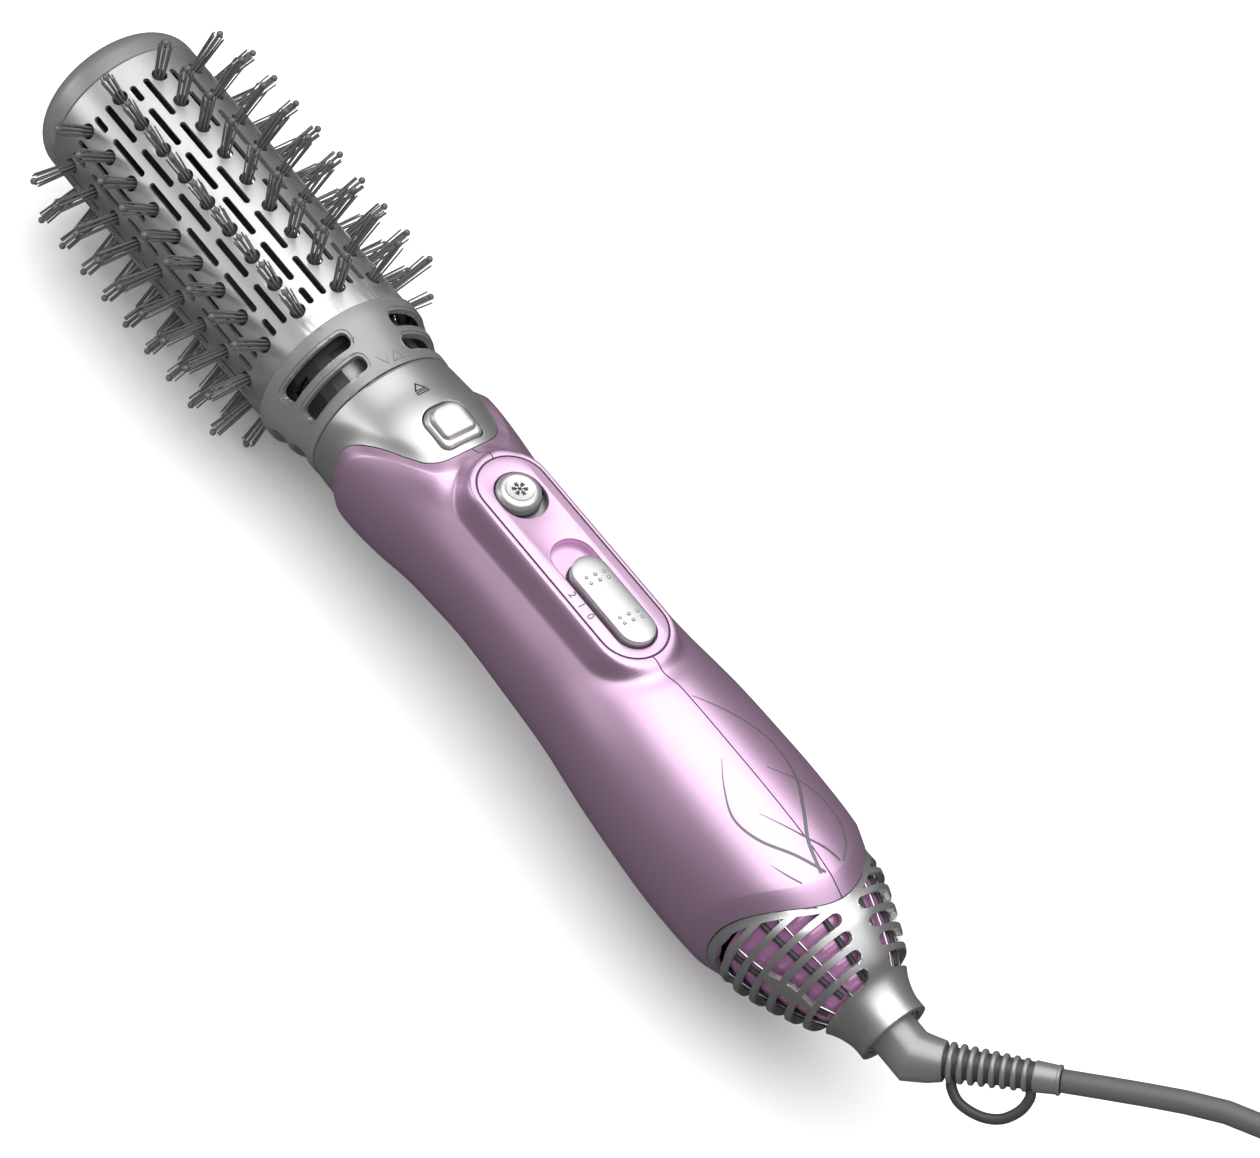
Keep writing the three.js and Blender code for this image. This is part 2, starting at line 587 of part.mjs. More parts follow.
function buildInletFilter() {
  const { front, rear, depth, wall } = FILTER;
  const outside = solid(handleBody(depth, front - 9, rear + 9, 16));
  const inside = solid(handleBody(depth + wall, front - 9, rear + 9, 16));
  const body = cut(outside, inside).intersect(box([front, -60, -60], [rear, 60, 60]));
  const openings = Array.from({ length: 8 }, (_, i) => {
    const opening = block([front + 4, -2.6, 6], [rear - 4, 2.6, 30]);
    return solid(opening.rotateX((2 * Math.PI * (i + 0.5)) / 8));
  });
  place('inlet_filter', shapeOf(cut(body, ...openings)), PINK);
}

// ---------------------------------------------------------------- cord

/** A point at a distance along the stiff part of the cord, from the elbow's corner. */
const along = (distance, side = 0) => new THREE.Vector3(ELBOW.x, 0, 0)
  .addScaledVector(CORD_WAY, distance).addScaledVector(LOOP_WAY, side);

/** Turns a geometry made about X so that it runs along the cord from the elbow's corner. */
function towardsCord(geometry) {
  const turn = new THREE.Quaternion().setFromUnitVectors(new THREE.Vector3(1, 0, 0), CORD_WAY);
  return geometry.applyQuaternion(turn).translate(ELBOW.x, 0, 0);
}

function buildSwivel() {
  const { x, radius, length, flange, flangeFront } = ELBOW;
  const { startRadius } = RELIEF;
  place('swivel_bush', tube(308.6, 316, radius + GAP, 7.4, 24), PINK);
  const pipe = solid(turned([[flangeFront, 0], [flangeFront, flange], [flangeFront + 2, flange],
    [flangeFront + 2, radius], [x, radius], [x, 0]], 16));
  const knee = solid(new THREE.SphereGeometry(radius, 12, 6).rotateZ(RIGHT_ANGLE).translate(x, 0, 0));
  const arm = solid(towardsCord(turned([[0, 0], [0, radius], [length, startRadius], [length, 0]], 16)));
  place('cord_elbow', shapeOf(join(pipe, knee, arm)), GREY_PLASTIC);
}

function buildStrainRelief() {
  const { start, end, startRadius, endRadius } = RELIEF;
  const sleeve = turned([[start, 0], [start, startRadius], [end, endRadius], [end, 0]], 16);
  const ends = [9.6, 28.6];
  const loop = new THREE.CatmullRomCurve3([
    along(ends[0], 5.6), along(ends[0] + 2.6, 9.2), along(ends[0] + 8, 11.4),
    along(ends[0] + 13, 11.3), along(ends[1] - 2, 8.8), along(ends[1], 5.4),
  ]);
  place('strain_relief', towardsCord(sleeve), CORD_RUBBER);
  place('hanging_loop', swept(loop, 1.3, 7, 14), CORD_RUBBER);
}

function buildCord() {
  const lead = curveThrough(CORD_ROUTE);
  place('power_cord', swept(lead, CORD.radius, 10, 22), CORD_RUBBER);
  place('cord_tail', swept(curveThrough(TAIL_ROUTE), CORD.radius, 10, 4), CORD_RUBBER);
  const { x, y, inner, outer, bottom, height } = COIL;
  const ring = tube(bottom, bottom + height, inner, outer, 24).rotateY(-RIGHT_ANGLE);
  place('cord_coil', ring.translate(x, y, CORD.floor), CORD_RUBBER);
}

/** A strap round the coil's turns. */
function buildTie() {
  const { x, y, inner, outer, bottom, height } = COIL;
  const { width, thickness } = TIE;
  const [near, away] = [inner - GAP - 0.4, outer + GAP];
  const strap = box([x - away - thickness, y - width / 2, 0.02], [x - near + thickness, y + width / 2,
    bottom + height + GAP + thickness]);
  const inside = box([x - away, y - width, bottom - GAP], [x - near, y + width, bottom + height + GAP]);
  const tie = shapeOf(cut(strap, inside)).translate(0, 0, CORD.floor);
  place('cord_tie', tie, DARK_PLASTIC);
}

function buildPlug() {
  const { x, y, length, width, height, pinRadius, pinLength, pinSpacing } = PLUG;
  const floor = CORD.floor;
  const outline = new THREE.Shape([
    [-length / 2, -width / 2], [length / 2 - 14, -width / 2], [length / 2, -5],
    [length / 2, 5], [length / 2 - 14, width / 2], [-length / 2, width / 2],
  ].map(([along_, across]) => new THREE.Vector2(along_, across)));
  place('plug_body', raised(outline, 0, height).translate(x, y, floor), CORD_RUBBER);
  const pinFront = x - length / 2 - GAP - pinLength;
  [['plug_pin_a', -1], ['plug_pin_b', 1]].forEach(([name, side]) => {
    const pin = rod(pinFront, pinFront + pinLength, pinRadius, 12);
    place(name, pin.translate(0, y + (side * pinSpacing) / 2, floor + height / 2), BRASS);
  });
}

buildBarrel();
buildBristleRows();
buildBearings();
buildTwistCap();
buildBaseRing();
buildVentRing();
buildCollar();
buildShells();
buildScrews();
buildControlPanel();
buildReleaseButton();
buildCoolButton();
buildSlideSwitch();
buildHeater();
buildFan();
buildGrille();
buildInletFilter();
buildSwivel();
buildStrainRelief();
buildCord();
buildTie();
buildPlug();

// The origin is under the middle of the brush, without its cord, on the surface it stands on.
const onCord = [
  'power_cord', 'cord_coil', 'cord_tail', 'cord_tie', 'plug_body', 'plug_pin_a', 'plug_pin_b',
];
const extent = new THREE.Box3();
for (const mesh of brush.children) {
  if (!onCord.includes(mesh.name)) extent.expandByObject(mesh, true);
}
brush.position.set(
  -(extent.min.x + extent.max.x) / 2, -(extent.min.y + extent.max.y) / 2, -extent.min.z);

export default brush;
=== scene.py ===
"""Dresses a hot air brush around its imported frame.

Pieces are modelled in millimetres in the brush's own axes: X runs along the barrel from the first
ring of tufts to the cord, Z is up through the buttons and Y is to the right. The workbench puts a
finished piece into the frame, in metres.
"""
from __future__ import annotations

import logging
import math
from collections.abc import Callable, Iterator, Sequence
from contextlib import contextmanager
from dataclasses import dataclass, field
from enum import Enum

import bpy
import numpy as np
from mathutils import Matrix, Vector


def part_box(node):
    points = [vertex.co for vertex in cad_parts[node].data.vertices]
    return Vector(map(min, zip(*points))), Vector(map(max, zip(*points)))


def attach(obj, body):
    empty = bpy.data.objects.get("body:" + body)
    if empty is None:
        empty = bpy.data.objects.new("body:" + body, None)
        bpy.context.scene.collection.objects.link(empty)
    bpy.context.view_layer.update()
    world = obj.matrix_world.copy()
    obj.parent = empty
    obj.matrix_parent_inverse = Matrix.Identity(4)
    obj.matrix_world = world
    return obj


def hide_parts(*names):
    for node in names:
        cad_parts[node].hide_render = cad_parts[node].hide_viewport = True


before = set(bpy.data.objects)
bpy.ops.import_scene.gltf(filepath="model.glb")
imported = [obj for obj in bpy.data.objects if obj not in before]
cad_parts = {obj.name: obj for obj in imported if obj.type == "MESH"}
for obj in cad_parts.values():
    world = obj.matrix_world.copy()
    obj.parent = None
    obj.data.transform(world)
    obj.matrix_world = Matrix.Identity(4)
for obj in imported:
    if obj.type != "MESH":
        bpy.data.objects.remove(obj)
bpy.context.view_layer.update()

log = logging.getLogger("hot_air_brush")
MM = 0.001
TURN = 2 * math.pi
BARREL_FRONT = -8.2  # where the barrel starts, seen from the first ring of tufts
BARREL_RADIUS = 24.0
CLEAR = 40.0         # a height or a distance from the middle that is clear of the brush
WELD = 0.002         # vertices closer than this are one

Piece = bpy.types.Object
Spot = tuple[float, float]
Spot3 = tuple[float, float, float]
Place = Callable[[float, float], Vector]
Exact = Callable[[Vector], Vector | None]


class Body(Enum):
    """The moving bodies of the frame."""

    HANDLE = "handle"
    HEAD = "brush_head"
    CAP = "twist_cap"
    RELEASE = "release"
    COOL = "cool_shot"
    SLIDE = "slide_switch"
    SWIVEL = "cord_swivel"


class Way(Enum):
    """The axes that a profile is turned about."""

    ALONG = (1, 0, 0)
    UP = (0, 0, 1)


class Part(Enum):
    """The parts of an inlet window that a leaf can split."""

    WHOLE = "whole"
    ABOVE_LEAF = "above"
    BELOW_LEAF = "below"


# ---------------------------------------------------------------- small sums


def smooth_step(low: float, high: float, value: float) -> float:
    """Returns a soft 0 to 1 as value goes from low to high."""
    share = min(max((value - low) / (high - low), 0.0), 1.0)
    return share * share * (3 - 2 * share)


def curve_through(points: Sequence[Sequence[float]], steps: int) -> list[Vector]:
    """Runs a smooth line through points.

    Args:
        points: The points, in 2 or 3 numbers each.
        steps: How many pieces each stretch between two points is cut into.

    Returns:
        The points of the line, the given ones among them.
    """
    known = [Vector(p) for p in points]
    known = [2 * known[0] - known[1], *known, 2 * known[-1] - known[-2]]
    line = []
    for a, b, c, d in zip(known, known[1:], known[2:], known[3:]):
        for i in range(steps):
            t = i / steps
            line.append(0.5 * (2 * b + (c - a) * t + (2 * a - 5 * b + 4 * c - d) * t * t
                               + (3 * b - a - 3 * c + d) * t ** 3))
    return [*line, known[-2]]


def spaced(*stops: Spot) -> list[float]:
    """Lists values from stop to stop, each stretch cut into its own even steps.

    Args:
        stops: Pairs of a value and the step used up to it; the first step isn't used.

    Returns:
        The rising values.
    """
    values = [stops[0][0]]
    for (low, _), (high, step) in zip(stops, stops[1:]):
        count = max(1, round((high - low) / step))
        values += [low + (high - low) * (i + 1) / count for i in range(count)]
    return values


def pick(values: Sequence[float], share: float) -> float:
    """Returns the value at a 0 to 1 share of a list, where a grid has one line for each."""
    return values[round(share * (len(values) - 1))]


@dataclass(frozen=True)
class Outline:
    """A rectangle with round corners in X and Y, with its middle line on Y = 0."""

    front: float
    rear: float
    half_width: float
    front_radius: float
    rear_radius: float

    @classmethod
    def slot(cls, front: float, rear: float, half_width: float) -> Outline:
        """Returns an outline with fully round ends."""
        return cls(front, rear, half_width, half_width, half_width)

    def grown(self, by: float) -> Outline:
        """Returns the outline moved outwards all round."""
        return Outline(self.front - by, self.rear + by, self.half_width + by,
                       self.front_radius + by, self.rear_radius + by)

    def points(self, inset: float = 0.0, per_corner: int = 10) -> list[Spot]:
        """Lists the corner arcs' points, moved inwards by an inset."""
        corners = [(self.rear, 1, self.rear_radius, 0), (self.front, 1, self.front_radius, 1),
                   (self.front, -1, self.front_radius, 2), (self.rear, -1, self.rear_radius, 3)]
        found = []
        for end, side, radius, quarter in corners:
            toward = 1 if end == self.rear else -1
            middle = (end - toward * radius, side * (self.half_width - radius))
            left = radius - inset
            shift = min(left, 0)
            for i in range(per_corner + 1):
                angle = (quarter + i / per_corner) * TURN / 4
                found.append((middle[0] + toward * shift + max(left, 0) * math.cos(angle),
                              middle[1] + side * shift + max(left, 0) * math.sin(angle)))
        return found


# ---------------------------------------------------------------- shader sheets


class Signal:
    """A socket of a shader sheet that takes part in Python expressions."""

    def __init__(self, sheet: ShaderSheet, socket: bpy.types.NodeSocket) -> None:
        self.sheet = sheet
        self.socket = socket

    def _sum(self, operation: str, other: Signal | float) -> Signal:
        """Adds one Math node."""
        return self.sheet.node("ShaderNodeMath", {"operation": operation}, {0: self, 1: other})

    def __add__(self, other: Signal | float) -> Signal:
        """Adds."""
        return self._sum("ADD", other)

    def __mul__(self, other: Signal | float) -> Signal:
        """Multiplies."""
        return self._sum("MULTIPLY", other)


Value = Signal | float | Sequence[float]


class ShaderSheet:
    """The node sheet of one material, with its Principled shader."""

    def __init__(self, name: str) -> None:
        self.material = bpy.data.materials.new(name)
        self.material.use_nodes = True
        self.tree = self.material.node_tree
        self.tree.nodes.clear()
        self.shader = self.tree.nodes.new("ShaderNodeBsdfPrincipled")
        output = self.tree.nodes.new("ShaderNodeOutputMaterial")
        self.tree.links.new(self.shader.outputs[0], output.inputs["Surface"])

    def node(self, kind: str, settings: dict[str, object] | None = None,
             sockets: dict[str | int, Value] | None = None, result: str | int = 0) -> Signal:
        """Adds any node.

        Args:
            kind: The node's type.
            settings: Its own settings, set before its sockets.
            sockets: Values or links, by socket name or number.
            result: The output that is handed back.

        Returns:
            The output as a signal.
        """
        made = self.tree.nodes.new(kind)
        for key, value in (settings or {}).items():
            setattr(made, key, value)
        for key, value in (sockets or {}).items():
            self.feed(made.inputs[key], value)
        return Signal(self, made.outputs[result])

    def feed(self, socket: bpy.types.NodeSocket, value: Value) -> None:
        """Links a signal to a socket, or sets the socket's own value."""
        if isinstance(value, Signal):
            self.tree.links.new(value.socket, socket)
        else:
            socket.default_value = value

    def shade(self, **sockets: Value) -> None:
        """Feeds the Principled shader; underscores in names stand for spaces."""
        for key, value in sockets.items():
            self.feed(self.shader.inputs[key.replace("_", " ")], value)

    def noise(self, scale: float, detail: float = 2.0, stretch: Sequence[float] = (1, 1, 1)) -> Signal:
        """Adds a noise on the object's own coordinates, in cycles per metre."""
        where = self.node("ShaderNodeTexCoord", result="Object")
        where = self.node("ShaderNodeMapping", sockets={"Vector": where, "Scale": stretch})
        return self.node("ShaderNodeTexNoise",
                         sockets={"Vector": where, "Scale": scale, "Detail": detail})

    def blend(self, share: Value, first: Sequence[float], second: Sequence[float]) -> Signal:
        """Mixes two colours."""
        return self.node("ShaderNodeMix", {"data_type": "RGBA"},
                         {"Factor": share, 6: (*first, 1), 7: (*second, 1)}, 2)

    def relief(self, height: Signal, distance: float) -> Signal:
        """Turns a height into a surface normal, with the height's full step in metres."""
        return self.node("ShaderNodeBump", sockets={"Height": height, "Distance": distance})


@dataclass(frozen=True)
class Finish:
    """A finish: two shades that drift into each other, a gloss that varies, and a fine grain."""

    name: str
    slot: str
    light: Spot3
    dark: Spot3
    roughness: float
    metallic: float = 0.0
    drift: float = 60.0      # cycles per metre of the slow change of shade
    gloss_change: float = 0.08
    grain: float = 2600.0    # cycles per metre of the surface's grain
    grain_depth: float = 4e-6
    stretch: Spot3 = (1, 1, 1)
    coat: float = 0.0

    def make(self) -> bpy.types.Material:
        """Builds the material."""
        sheet = ShaderSheet(self.name)
        slow = sheet.noise(self.drift, 3)
        fine = sheet.noise(self.grain, 2, self.stretch)
        fleck = sheet.noise(self.grain * 0.35, 1)
        sheet.shade(
            Base_Color=sheet.blend(slow * 0.7 + fleck * 0.3, self.dark, self.light),
            Roughness=fine * self.gloss_change + slow * (self.gloss_change / 2)
            + (self.roughness - self.gloss_change * 0.75),
            Normal=sheet.relief(fine, self.grain_depth),
            Metallic=self.metallic, Coat_Weight=self.coat, Coat_Roughness=0.35)
        return sheet.material


class Look(Enum):
    """Every finish of the brush."""

    SILVER = Finish("satin_silver", "satin_silver", (0.63, 0.635, 0.63), (0.56, 0.565, 0.56),
                    0.40, 0.88, stretch=(0.25, 1, 1))
    PEARL = Finish("pearl_silver", "satin_silver", (0.62, 0.625, 0.62), (0.56, 0.565, 0.56),
                   0.40, 0.8)
    PINK = Finish("mauve_satin", "pink_satin", (0.70, 0.475, 0.672), (0.65, 0.43, 0.62),
                  0.42, 0.85, drift=25, coat=0.3)
    PINK_GLOSS = Finish("mauve_gloss", "pink_satin", (0.55, 0.27, 0.49), (0.42, 0.18, 0.37),
                        0.16, 0.25, drift=120, grain_depth=1e-6, coat=0.6)
    GREY = Finish("grey_moulding", "grey_plastic", (0.28, 0.28, 0.282), (0.23, 0.23, 0.232),
                  0.42, 0.55)
    ELBOW = Finish("elbow_satin", "grey_plastic", (0.30, 0.30, 0.30), (0.24, 0.24, 0.24),
                   0.38, 0.6)
    # Dark plastic parts; also painted shade on the barrel's inside.
    DARK = Finish("dark_moulding_and_shade", "dark_plastic", (0.05, 0.05, 0.052), (0.028, 0.028, 0.03),
                  0.45)
    BRISTLE = Finish("bristle_nylon", "nylon", (0.13, 0.13, 0.134), (0.07, 0.07, 0.073),
                     0.30, 0.1, grain=900, grain_depth=8e-6)
    RUBBER = Finish("cord_rubber", "cord_rubber", (0.092, 0.093, 0.095), (0.066, 0.067, 0.069),
                    0.5, grain=1600, grain_depth=1.2e-5, drift=35)
    STEEL = Finish("drawn_steel", "steel", (0.6, 0.6, 0.61), (0.45, 0.45, 0.46),
                   0.25, 1.0, stretch=(0.1, 1, 1))
    BRASS = Finish("plug_brass", "brass", (0.72, 0.53, 0.25), (0.58, 0.41, 0.18),
                   0.24, 1.0)
    MICA = Finish("mica_board", "mica", (0.5, 0.44, 0.3), (0.34, 0.29, 0.18), 0.6)
    BOARD = Finish("circuit_green", "board", (0.03, 0.2, 0.08), (0.02, 0.12, 0.05), 0.5)
    # Black print; also the painted shade under the seams, the panel's gap and the edges of the button and
    # slider.
    INK = Finish("black_print_and_shade", "dark_plastic", (0.02, 0.02, 0.022), (0.012, 0.012, 0.013),
                 0.5)
    GREY_INK = Finish("grey_print", "grey_plastic", (0.13, 0.13, 0.14), (0.1, 0.1, 0.105),
                      0.4, 0.3)


# ---------------------------------------------------------------- workbench


def only(piece: Piece) -> None:
    """Selects one piece and nothing else."""
    bpy.ops.object.select_all(action="DESELECT")
    piece.select_set(True)
    bpy.context.view_layer.objects.active = piece


def fresh(add: Callable[..., set[str]], **settings: object) -> Piece:
    """Runs an operator that adds or converts an object, with nothing else selected, and returns it."""
    bpy.ops.object.select_all(action="DESELECT")
    add(**settings)
    return bpy.context.object


@contextmanager
def editing(piece: Piece) -> Iterator[None]:
    """Opens a piece in edit mode with all of it selected."""
    only(piece)
    bpy.ops.object.mode_set(mode="EDIT")
    bpy.ops.mesh.select_all(action="SELECT")
    yield
    bpy.ops.object.mode_set(mode="OBJECT")


def close_up(piece: Piece) -> Piece:
    """Merges doubled vertices and turns the faces outwards."""
    with editing(piece):
        bpy.ops.mesh.remove_doubles(threshold=WELD)
        bpy.ops.mesh.normals_make_consistent(inside=False)
    return piece


def faced_out(piece: Piece) -> Piece:
    """Merges an open sheet's doubled vertices and turns its faces away from the brush's axis."""
    close_up(piece)
    face = piece.data.polygons[len(piece.data.polygons) // 2]
    if face.normal.dot(Vector((0, face.center.y, face.center.z))) < 0:
        with editing(piece):
            bpy.ops.mesh.flip_normals()
    return piece


def thickened(piece: Piece, thickness: float) -> Piece:
    """Gives an open sheet round the brush's axis a thickness inwards."""
    return modified(faced_out(piece), "SOLIDIFY", thickness=thickness, offset=-1, use_even_offset=False)


def settle(piece: Piece) -> Piece:
    """Puts a new primitive's place into its mesh."""
    only(piece)
    bpy.ops.object.transform_apply(location=True, rotation=True, scale=True)
    return piece


def modified(piece: Piece, kind: str, **settings: object) -> Piece:
    """Adds a modifier with its settings and applies it."""
    only(piece)
    modifier = piece.modifiers.new(kind.lower(), kind)
    for key, value in settings.items():
        setattr(modifier, key, value)
    bpy.ops.object.modifier_apply(modifier=modifier.name)
    return piece


def joined(pieces: Sequence[Piece]) -> Piece:
    """Joins pieces into the first of them."""
    only(pieces[0])
    for piece in pieces:
        piece.select_set(True)
    bpy.ops.object.join()
    return pieces[0]


def copied(piece: Piece, moved: Matrix) -> Piece:
    """Copies a piece with its own mesh, moved."""
    only(piece)
    bpy.ops.object.duplicate(linked=False)
    twin = bpy.context.object
    twin.data.transform(moved)
    return twin


def cut(piece: Piece, tool: Piece) -> None:
    """Cuts a tool out of a piece, and throws the tool away."""
    modified(piece, "BOOLEAN", object=tool, operation="DIFFERENCE", solver="EXACT")
    bpy.data.objects.remove(tool)


def rounded(piece: Piece, width: float, segments: int = 2, angle: float = 40) -> Piece:
    """Rounds the sharp edges of a piece."""
    return modified(piece, "BEVEL", width=width, segments=segments, limit_method="ANGLE",
                    angle_limit=math.radians(angle), miter_outer="MITER_ARC")


def spun(angle: float) -> Matrix:
    """Returns a turn about the brush's axis, toward +Y from the top, in degrees."""
    return Matrix.Rotation(-math.radians(angle), 4, "X")


def polish(piece: Piece, exact: Exact) -> None:
    """Gives a known surface its own normals, so that what is cut into it leaves no marks."""
    mesh = piece.data
    normals = [Vector(corner.vector) for corner in mesh.corner_normals]
    known = [exact(vertex.co) for vertex in mesh.vertices]
    for polygon in mesh.polygons:
        for loop in polygon.loop_indices:
            out = known[mesh.loops[loop].vertex_index]
            if out is not None and polygon.normal.dot(out) > 0.5:
                normals[loop] = out
    mesh.normals_split_custom_set(normals)


def oblong(front: float, rear: float, half_width: float) -> list[Spot]:
    """Lists the corners of a plain rectangle."""
    return [(front, -half_width), (rear, -half_width), (rear, half_width), (front, half_width)]


def dense(outline: Sequence[Spot], step: float) -> list[Spot]:
    """Adds points to an outline's long sides."""
    found = []
    for near, far in zip(outline, [*outline[1:], outline[0]]):
        count = max(1, round(math.dist(near, far) / step))
        found += [(near[0] + (far[0] - near[0]) * i / count, near[1] + (far[1] - near[1]) * i / count)
                  for i in range(count)]
    return found


def wrapped(piece: Piece, radius: float, angle: float) -> Piece:
    """Wraps a flat piece round the brush: its Y becomes an arc at a radius, its Z the radius."""
    for vertex in piece.data.vertices:
        x, y, z = vertex.co
        vertex.co = (x, z * math.sin(y / radius), z * math.cos(y / radius))
    piece.data.transform(spun(angle))
    return piece


def turned(profile: Sequence[Spot], sides: int = 72, way: Way = Way.ALONG, closed: bool = False) -> Piece:
    """Spins a profile about an axis, as on a lathe.

    Args:
        profile: Pairs of a place along the axis and a radius.
        sides: How many flats the turned piece has.
        way: The axis.
        closed: Whether the profile's end is joined to its start, for a piece with a hole.

    Returns:
        The turned piece.
    """
    spots = [Vector((a, 0, r)) if way is Way.ALONG else Vector((r, 0, a)) for a, r in profile]
    if closed:
        spots.append(spots[0])
    piece = fresh(bpy.ops.mesh.primitive_plane_add, size=1)
    with editing(piece):
        bpy.ops.mesh.merge(type="CENTER")
        bpy.ops.transform.translate(value=spots[0])
        for near, far in zip(spots, spots[1:]):
            bpy.ops.mesh.extrude_vertices_move(TRANSFORM_OT_translate={"value": far - near})
        bpy.ops.mesh.select_all(action="SELECT")
        bpy.ops.mesh.spin(steps=sides, angle=TURN, center=(0, 0, 0), axis=way.value)
    return close_up(piece)


def sheet(columns: int, rows: int, place: Place) -> Piece:
    """Shapes a grid into a surface.

    Args:
        columns: How many faces it has across.
        rows: How many faces it has along.
        place: Where the point at two shares from 0 to 1 goes.

    Returns:
        The surface.
    """
    piece = fresh(bpy.ops.mesh.primitive_grid_add, x_subdivisions=columns, y_subdivisions=rows, size=2)
    for vertex in piece.data.vertices:
        vertex.co = place((vertex.co.x + 1) / 2, (vertex.co.y + 1) / 2)
    return piece


def plate(outlines: Sequence[Sequence[Spot]], bottom: float, top: float, edge: float = 0.0) -> Piece:
    """Cuts a flat plate with rounded edges; an outline inside another is a hole.

    Args:
        outlines: Closed outlines in X and Y.
        bottom: The height of its lower face.
        top: The height of its upper face.
        edge: How far its edges are rounded.

    Returns:
        The plate.
    """
    curve = fresh(bpy.ops.object.add, type="CURVE", location=(0, 0, (bottom + top) / 2)).data
    curve.dimensions = "2D"
    curve.fill_mode = "BOTH"
    curve.extrude = (top - bottom) / 2 - edge
    curve.bevel_depth = edge
    curve.bevel_resolution = 2
    curve.offset = -edge
    for outline in outlines:
        line = curve.splines.new("POLY")
        line.points.add(len(outline) - 1)
        for point, (x, y) in zip(line.points, outline):
            point.co = (x, y, 0, 1)
        line.use_cyclic_u = True
    bpy.ops.object.convert(target="MESH")
    return close_up(settle(bpy.context.object))


def lofted(outline: Outline, profile: Sequence[Spot], per_corner: int = 10) -> Piece:
    """Carries an outline along a profile of insets and heights, closed at both ends.

    Args:
        outline: The outline that an inset of 0 gives.
        profile: Pairs of an inset and a height; the first and last are closed with a face.
        per_corner: How many steps a corner has.

    Returns:
        The solid.
    """
    rings = [outline.points(inset, per_corner) for inset, _ in profile]
    count = len(rings[0])

    def place(across: float, along: float) -> Vector:
        ring = round(along * (len(profile) - 1))
        x, y = rings[ring][round(across * count) % count]
        return Vector((x, y, profile[ring][1]))

    piece = sheet(count, len(profile) - 1, place)
    with editing(piece):
        bpy.ops.mesh.remove_doubles(threshold=WELD)
        bpy.ops.mesh.select_all(action="DESELECT")
        bpy.ops.mesh.select_non_manifold()
        bpy.ops.mesh.edge_face_add()
        bpy.ops.mesh.select_all(action="SELECT")
        bpy.ops.mesh.normals_make_consistent(inside=False)
    return piece


def rod(start: Vector, end: Vector, radius: float, sides: int = 12,
        end_radius: float | None = None) -> Piece:
    """Adds a round rod between two points, which may taper."""
    way = end - start
    return settle(fresh(bpy.ops.mesh.primitive_cone_add, vertices=sides, radius1=radius, depth=way.length,
                        radius2=radius if end_radius is None else end_radius, location=(start + end) / 2,
                        rotation=way.to_track_quat("Z", "Y").to_euler()))


def ball(centre: Vector, radius: float, segments: int = 12) -> Piece:
    """Adds a ball."""
    return settle(fresh(bpy.ops.mesh.primitive_uv_sphere_add, segments=segments,
                        ring_count=segments // 2 + 1, radius=radius, location=centre))


def piped(line: Sequence[Vector], radius: float, resolution: int, kind: str = "POLY",
          **settings: object) -> Piece:
    """Adds a curve with a round section and closed ends.

    Args:
        line: The points it runs through.
        radius: The section's radius.
        resolution: How fine the section is.
        kind: The kind of spline.
        settings: The spline's own settings.

    Returns:
        The curve.
    """
    piece = fresh(bpy.ops.object.add, type="CURVE")
    curve = piece.data
    curve.dimensions = "3D"
    curve.bevel_depth = radius
    curve.bevel_resolution = resolution
    curve.use_fill_caps = True
    spline = curve.splines.new(kind)
    for key, value in settings.items():
        setattr(spline, key, value)
    spline.points.add(len(line) - 1)
    for point, spot in zip(spline.points, line):
        point.co = (*spot, 1)
    return piece


class Workbench:
    """Puts finished pieces into the frame."""

    def __init__(self) -> None:
        low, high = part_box("barrel")
        self.origin = Vector((low.x - BARREL_FRONT * MM, (low.y + high.y) / 2, (low.z + high.z) / 2))
        self.into_frame = Matrix.Translation(self.origin) @ Matrix.Scale(MM, 4)
        self.made: dict[Look, bpy.types.Material] = {}

    def material(self, look: Look) -> bpy.types.Material:
        """Returns a look's material, which is made once."""
        if look not in self.made:
            self.made[look] = look.value.make()
        return self.made[look]

    def done(self, piece: Piece, name: str, body: Body | str, look: Look, replaces: Sequence[str] = (),
             angle: float = 35, exact: Exact | None = None, slot: str | None = None) -> None:
        """Names, smooths and dresses a piece, and sets it on its body.

        Args:
            piece: The piece, in millimetres in the brush's axes.
            name: Its name.
            body: The body it moves with.
            look: Its finish.
            replaces: The frame's nodes that it stands for.
            angle: The angle in degrees above which an edge stays sharp.
            exact: Gives the normal at a point of the piece's main surface, and None elsewhere.
            slot: The record's material slot, where it isn't the finish's own; not used.
        """
        piece.name = name
        piece.data.name = name
        piece.data.materials.clear()
        piece.data.materials.append(self.material(look))
        only(piece)
        bpy.ops.object.shade_smooth_by_angle(angle=math.radians(angle))
        if exact:
            polish(piece, exact)
        piece.data.transform(self.into_frame)
        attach(piece, body.value if isinstance(body, Body) else body)
        slot or look.value.slot
        if replaces:
            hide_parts(*replaces)
        log.info("%s: %d faces", name, len(piece.data.polygons))

    def line(self, piece: Piece, look: Look) -> None:
        """Gives the faces of a piece that look toward the brush's axis a finish of their own: painted shade
        on the inside, seen through the piece's holes.
        """
        piece.data.materials.append(self.material(look))
        for polygon in piece.data.polygons:
            out = polygon.center - self.origin
            if polygon.normal.dot(Vector((0, out.y, out.z)).normalized()) < -0.6:
                polygon.material_index = 1

    def dress(self, look: Look, *nodes: str) -> None:
        """Gives nodes of the frame a finish."""
        for name in nodes:
            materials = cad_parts[name].data.materials
            materials.clear()
            materials.append(self.material(look))


# ---------------------------------------------------------------- brush head


